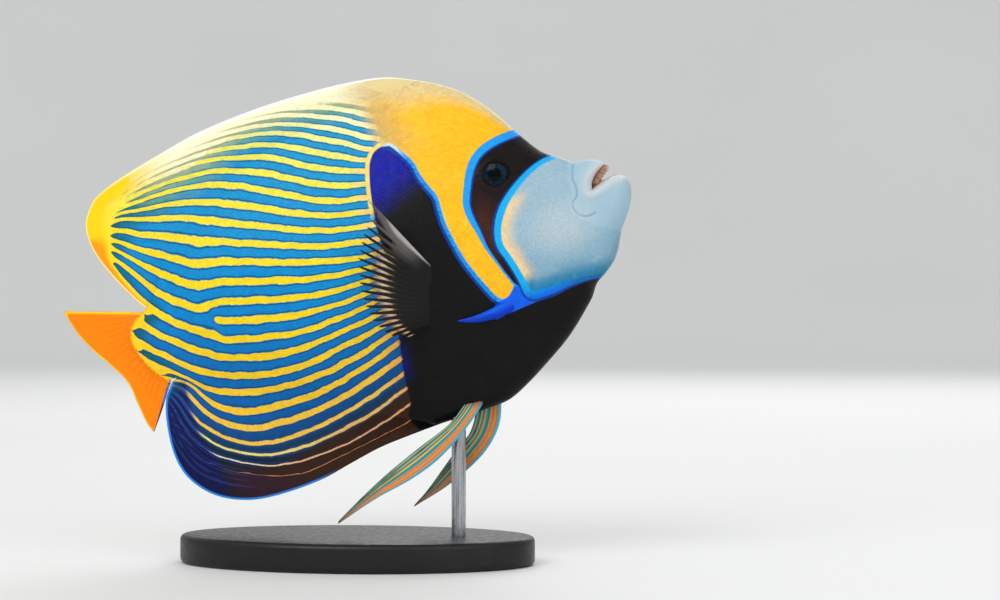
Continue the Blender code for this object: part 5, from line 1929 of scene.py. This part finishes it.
@dataclass(frozen=True)
class PelvicFinish:
    """Blade with a cyan leading edge, orange rays, teal webs and a grey-green trailing web."""

    name: str = "pelvic_fin_skin"
    edge: str = "34BCEC"
    ray: str = "F2861A"
    teal: str = "1E9296"
    thin_ray: str = "F0A83A"
    web: str = "5C7C68"
    web_dark: str = "2C4A48"
    fine_ray: str = "B4C8A4"
    root: str = "120E0E"

    def material(self) -> Material:
        """Makes the finish.

        Returns:
            The finish.
        """
        g = Graph(self.name, roughness=0.42, specular=0.2)
        share, crest, across = g.value("share"), g.value("crest"), g.value("across")
        web = g.over(self.web, self.web_dark, g.step(g.noise(9, 3), 0.4, 0.7, 0.0, 0.7))
        web = g.over(web, self.fine_ray, g.step(crest, 0.35, 0.6, 0.0, 0.8))
        painted = g.over(self.teal, web, g.step(across, 0.54, 0.58))
        painted = g.over(painted, self.thin_ray, g.band(across, 0.59, 0.65, 0.02))
        painted = g.over(painted, self.ray, g.band(across, 0.10, 0.42, 0.02),
                         g.step(crest, 0.02, 0.16, 0.35, 1.0))
        painted = g.over(painted, self.edge, g.drop(across, 0.05, 0.09))
        painted = g.over(painted, self.root, g.drop(share, 0.02, 0.12))
        g.bump(g.noise(1.5, 2), 0.05)
        return g.finish(painted)


@dataclass
class PairedFin:
    """Fin of one side: a fan of rays between a root and a margin, thick on both faces alike."""

    name: str
    node: str
    side: Side
    form: FinForm
    root_half_thickness: float
    shape: Callable[[Array, Array], Array]
    slot: str
    steps_out: int
    ray_steps: int
    rim_share: float = 0.25
    rim_swell: float = 8.0

    def build(self, finish: Material) -> bpy.types.Object:
        """Builds the fin.

        Args:
            finish: The fin's finish.

        Returns:
            The piece.
        """
        out, across = even(self.steps_out), even(self.form.rays * self.ray_steps)
        middle = self.shape(out, across)
        normal = unit(np.cross(np.gradient(middle, axis=0), np.gradient(middle, axis=1)))
        thick = self.form.half_thickness(self.root_half_thickness, out[:, None], across[None, :])
        thick = thick * np.minimum(1, self.rim_share + self.rim_swell * np.minimum(across, 1 - across))
        body = bmesh.new()
        layers = body.verts.layers.float
        values = (np.broadcast_to(out[:, None], thick.shape), np.broadcast_to(across, thick.shape),
                  self.form.crest(out[:, None], across[None, :]))
        fields = list(zip([layers.new(name) for name in ("share", "across", "crest")], values))
        for sign in (1, -1):
            grid_of(body, middle + sign * normal * thick[..., None], fields)
        bmesh.ops.bridge_loops(body, edges=[edge for edge in body.edges if edge.is_boundary])
        fin = finished(mesh_of(self.name, body), finish)
        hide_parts(self.node)
        return fin


@dataclass
class Pectoral:
    """Size of the side fin that stands out and back from the flank."""

    flesh: Flesh
    root: Outline = ((151, -41), (157, -26), (164.5, -12))
    margin: Outline = (
        (135, -44), (124.5, -35), (119.4, -22.6), (118.4, -8.1), (123.4, 12), (134, 27), (146.5, 33.5))
    lift: float = 26.0
    sunk: float = 1.2
    cup: float = 3.0
    rays: int = 19

    def fin(self, side: Side) -> PairedFin:
        """Shapes the fin of one side.

        Args:
            side: The side.

        Returns:
            The fin.
        """

        def shape(out: Array, across: Array) -> Array:
            """Lays out the fin's middle.

            Args:
                out: Shares of the way out.
                across: Fractions across the rays.

            Returns:
                Places (forward, leftward, up) by share and fraction.
            """
            root, edge = spaced(self.root, across), spaced(self.margin, across)
            spot = root[None] + (edge - root)[None] * out[:, None, None]
            depth = self.flesh.half_width(root) - self.sunk
            spread = self.lift + self.sunk - self.cup * np.sin(math.pi * across)
            aside = depth[None] + spread[None] * out[:, None]
            return np.stack([spot[..., 0], side.value * aside, spot[..., 1]], axis=-1)

        return PairedFin(f"pectoral_vane_{side.word}", f"pectoral_fin_{side.word}", side,
                         FinForm(rays=self.rays, margin=0.28, relief=0.3, forking=(0.72, 1.0)), 1.4, shape,
                         "pectoral_fin", 22, 8)


@dataclass
class Pelvic:
    """Size of a belly fin, a long blade swept back to a fine tip."""

    side: Side
    lead: Outline
    trail: Outline
    root_side: float
    tip_side: float
    rays: int = 6

    def fin(self) -> PairedFin:
        """Shapes the fin.

        Returns:
            The fin.
        """

        def shape(out: Array, across: Array) -> Array:
            """Lays out the fin's middle.

            Args:
                out: Shares of the way out.
                across: Fractions across the rays.

            Returns:
                Places (forward, leftward, up) by share and fraction.
            """
            lead, trail = spaced(self.lead, out)[:, None], spaced(self.trail, out)[:, None]
            spot = lead + (trail - lead) * across[None, :, None]
            aside = self.side.value * (self.root_side + (self.tip_side - self.root_side) * out)
            aside = np.broadcast_to(aside[:, None], spot.shape[:2])
            return np.stack([spot[..., 0], aside, spot[..., 1]], axis=-1)

        return PairedFin(f"pelvic_vane_{self.side.word}", f"pelvic_fin_{self.side.word}", self.side,
                         FinForm(rays=self.rays, margin=0.26, relief=0.34, start=0.06), 1.5, shape,
                         "pelvic_fin", 60, 10)


PELVICS = (
    Pelvic(Side.RIGHT,
           ((170, -85), (152.6, -98.9), (132.4, -110.7), (114.4, -116.6), (92, -120.6), (68.1, -127)),
           ((159, -83), (143, -94.6), (124, -101.4), (104.4, -108.6), (86, -116.8), (68.7, -125.6)),
           5.0, 21.0),
    Pelvic(Side.LEFT, ((175, -85), (168.5, -102), (159.8, -112), (148, -119.6), (127, -127.7), (104.8, -133)),
           ((163, -83), (151, -102), (139, -110), (127, -118.4), (115, -126.6), (105.4, -132)), 5.0, 18.0),
)


@dataclass(frozen=True)
class StandFinish:
    """Satin black lacquer of the base and brushed steel of the rod."""

    lacquer: str = "0A0A0B"
    lacquer_worn: str = "1C1B1B"
    steel: str = "B4B6BA"
    steel_dark: str = "84868A"

    def base(self) -> Material:
        """Makes lacquered wood.

        Returns:
            The finish.
        """
        g = Graph("satin_black_lacquer", coat=0.1, specular=0.3)
        grain = g.noise(6, 4, (0.08, 1, 1))
        painted = g.over(self.lacquer, self.lacquer_worn, g.step(grain, 0.45, 0.75, 0.0, 0.6))
        g.bump(grain, 0.05, 0.4)
        return g.finish(painted, g.step(g.noise(3, 4), 0.3, 0.7, 0.34, 0.48))

    def rod(self) -> Material:
        """Makes brushed steel.

        Returns:
            The finish.
        """
        g = Graph("brushed_steel", metallic=1.0)
        brushed = g.noise(0.5, 3, (1, 1, 0.02))
        g.bump(brushed, 0.02, 0.5)
        return g.finish(g.over(self.steel, self.steel_dark, g.step(brushed, 0.4, 0.65)),
                        g.step(g.noise(2, 3), 0.3, 0.7, 0.22, 0.36))


@dataclass
class DisplayStand:
    """Oblong base with a rounded edge, and the rod that carries the fish."""

    finish: StandFinish = field(default_factory=StandFinish)
    segments: int = 160
    edge: float = 0.003
    edge_steps: int = 5
    rod_segments: int = 48

    def build(self) -> None:
        """Builds base and rod over the boxes of their nodes."""
        low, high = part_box("stand_base")
        size = high - low
        body = bmesh.new()
        bmesh.ops.create_cone(body, cap_ends=True, segments=self.segments, radius1=0.5, radius2=0.5, depth=1)
        bmesh.ops.scale(body, vec=size, verts=body.verts[:])
        rims = [edge for edge in body.edges if abs(edge.verts[0].co.z - edge.verts[1].co.z) < TINY]
        bmesh.ops.bevel(body, geom=rims, offset=self.edge, segments=self.edge_steps, profile=0.5,
                        affect="EDGES", material=-1)
        bmesh.ops.translate(body, vec=(low + high) / 2, verts=body.verts[:])
        base = finished(mesh_of("display_base", body), self.finish.base(), 40.0)
        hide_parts("stand_base")
        low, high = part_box("stand_rod")
        size = high - low
        body = bmesh.new()
        bmesh.ops.create_cone(body, cap_ends=True, segments=self.rod_segments, radius1=size.x / 2,
                              radius2=size.x / 2, depth=size.z)
        bmesh.ops.translate(body, vec=(low + high) / 2, verts=body.verts[:])
        rod = finished(mesh_of("display_rod", body), self.finish.rod(), 40.0)
        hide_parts("stand_rod")


@dataclass
class Studio:
    """Pale floor, soft lights and the camera at the photograph's angle."""

    azimuth: float = 6.0
    distance: float = 1.20
    target: Triple = (0.0886, 0.0, 0.1471)
    millimetres_per_pixel: float = 0.5556
    picture_width: int = 1000
    sensor: float = 36.0
    floor_radius: float = 4.0
    floor_segments: int = 96
    sweep_radius: float = 3.0
    sweep_steps: int = 24
    floor_colour: str = "ECECEA"
    floor_cloud: str = "E4E4E2"
    air: str = "EEF0F2"
    air_strength: float = 0.85
    lights: Sequence[tuple[str, Triple, float, float]] = (
        ("key", (-0.9, -2.2, 2.0), 1.6, 33), ("fill", (1.6, -2.0, 1.2), 2.0, 12),
        ("back", (0.3, 2.2, 1.8), 2.0, 20))

    def camera(self) -> None:
        """Sets up the camera."""
        turn = math.radians(self.azimuth)
        back = Vector((math.sin(turn), -math.cos(turn), 0))
        data = bpy.data.cameras.new("camera")
        data.sensor_width = self.sensor
        picture_width = self.millimetres_per_pixel * MILLIMETRE * self.picture_width
        data.lens = self.sensor * self.distance / picture_width
        eye = in_scene("camera", data)
        eye.location = Vector(self.target) + back * self.distance
        eye.rotation_mode = "QUATERNION"
        eye.rotation_quaternion = (-back).to_track_quat("-Z", "Y")
        bpy.context.scene.camera = eye

    def light(self, name: str, place: Triple, size: float, power: float) -> None:
        """Adds a soft square light that faces the fish.

        Args:
            name: The light's name.
            place: Its place in metres.
            size: Length of its side in metres.
            power: Its power in watts.
        """
        data = bpy.data.lights.new(name, "AREA")
        data.size = size
        data.energy = power
        lamp = in_scene(name, data)
        lamp.location = place
        lamp.rotation_mode = "QUATERNION"
        lamp.rotation_quaternion = (Vector(self.target) - Vector(place)).to_track_quat("-Z", "Y")

    def floor(self) -> None:
        """Lays the floor, which sweeps up all round into a low pale wall."""
        body = bmesh.new()
        bmesh.ops.create_circle(body, cap_ends=True, segments=self.floor_segments, radius=self.floor_radius)
        rim = [edge for edge in body.edges if edge.is_boundary]
        for share in even(self.sweep_steps)[1:]:
            geometry = bmesh.ops.extrude_edge_only(body, edges=rim)["geom"]
            rim = [item for item in geometry if isinstance(item, bmesh.types.BMEdge)]
            angle = share * math.pi / 2
            out = self.floor_radius + self.sweep_radius * math.sin(angle)
            for vertex in {v for edge in rim for v in edge.verts}:
                flat = vertex.co.xy.normalized() * out
                vertex.co = (flat.x, flat.y, self.sweep_radius * (1 - math.cos(angle)))
        mesh = mesh_of("floor", body)
        mesh.flip_normals()
        mesh.shade_smooth()
        g = Graph("pale_floor", roughness=0.7, specular=0.2)
        mesh.materials.append(g.finish(g.over(self.floor_colour, self.floor_cloud, g.noise(900, 2))))
        floor = in_scene("floor", mesh)

    def build(self) -> None:
        """Sets up floor, lights, surroundings and camera."""
        scene = bpy.context.scene
        self.floor()
        for name, place, size, power in self.lights:
            self.light(name, place, size, power)
        world = bpy.data.worlds.new("studio")
        world.use_nodes = True
        backdrop = world.node_tree.nodes["Background"]
        backdrop.inputs["Color"].default_value = colour(self.air)
        backdrop.inputs["Strength"].default_value = self.air_strength
        scene.world = world
        scene.view_settings.view_transform = "Standard"
        self.camera()


def corners(bounds: tuple[Vector, Vector]) -> list[list[float]]:
    """Box corners as plain lists."""
    return [list(corner) for corner in bounds]


def main() -> None:
    """Builds every piece and reports it."""
    logging.basicConfig(level=logging.INFO, format="%(name)s: %(message)s")
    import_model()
    flesh, markings = Flesh(), Markings()
    skin_finish = SkinFinish().material()
    skin, patches = Skin(flesh, markings).build(skin_finish)
    named = {patch.name: patch for patch in patches}
    coat = ScaleCoat(flesh, markings)
    head_coat = ScaleCoat(flesh, markings, length=1.75, breadth=1.6, lift=0.22)
    face_coat = ScaleCoat(flesh, markings, length=1.3, breadth=1.2, lift=0.12, sunk=0.08, dome=0.03,
                          on_face=True)
    eye_finish, spine_finish = EyeFinish().material(), SpineFinish().material()
    pectoral_finish = PectoralFinish().material()
    pectoral = Pectoral(flesh)
    for side, left in ((Side.RIGHT, 0.01), (Side.LEFT, 0.51)):
        coat.build(f"scales_trunk_{side.word}", [named["trunk"]], side, skin_finish, (left, 0.30, 0.30, 0.38))
        head_coat.build(f"scales_head_{side.word}", [named["head"]], side, skin_finish,
                        (left + 0.32, 0.30, 0.15, 0.38))
        face_coat.build(f"scales_face_{side.word}", [named["head"]], side, skin_finish,
                        (left + 0.32, 0.01, 0.15, 0.27))
        coat.build(f"scales_fins_{side.word}", [named[n] for n in ("tail_stalk", "dorsal", "anal", "tail")],
                   side, skin_finish, (left, 0.70, 0.47, 0.28))
        Eye(side, flesh).build(eye_finish)
        CheekSpine(side, flesh).build(spine_finish)
        pectoral.fin(side).build(pectoral_finish)
    pelvic_finish = PelvicFinish().material()
    for pelvic in PELVICS:
        pelvic.fin().build(pelvic_finish)
    Teeth(flesh).build(TeethFinish().material())
    DisplayStand().build()
    Studio().build()


if __name__ == "__main__":
    main()
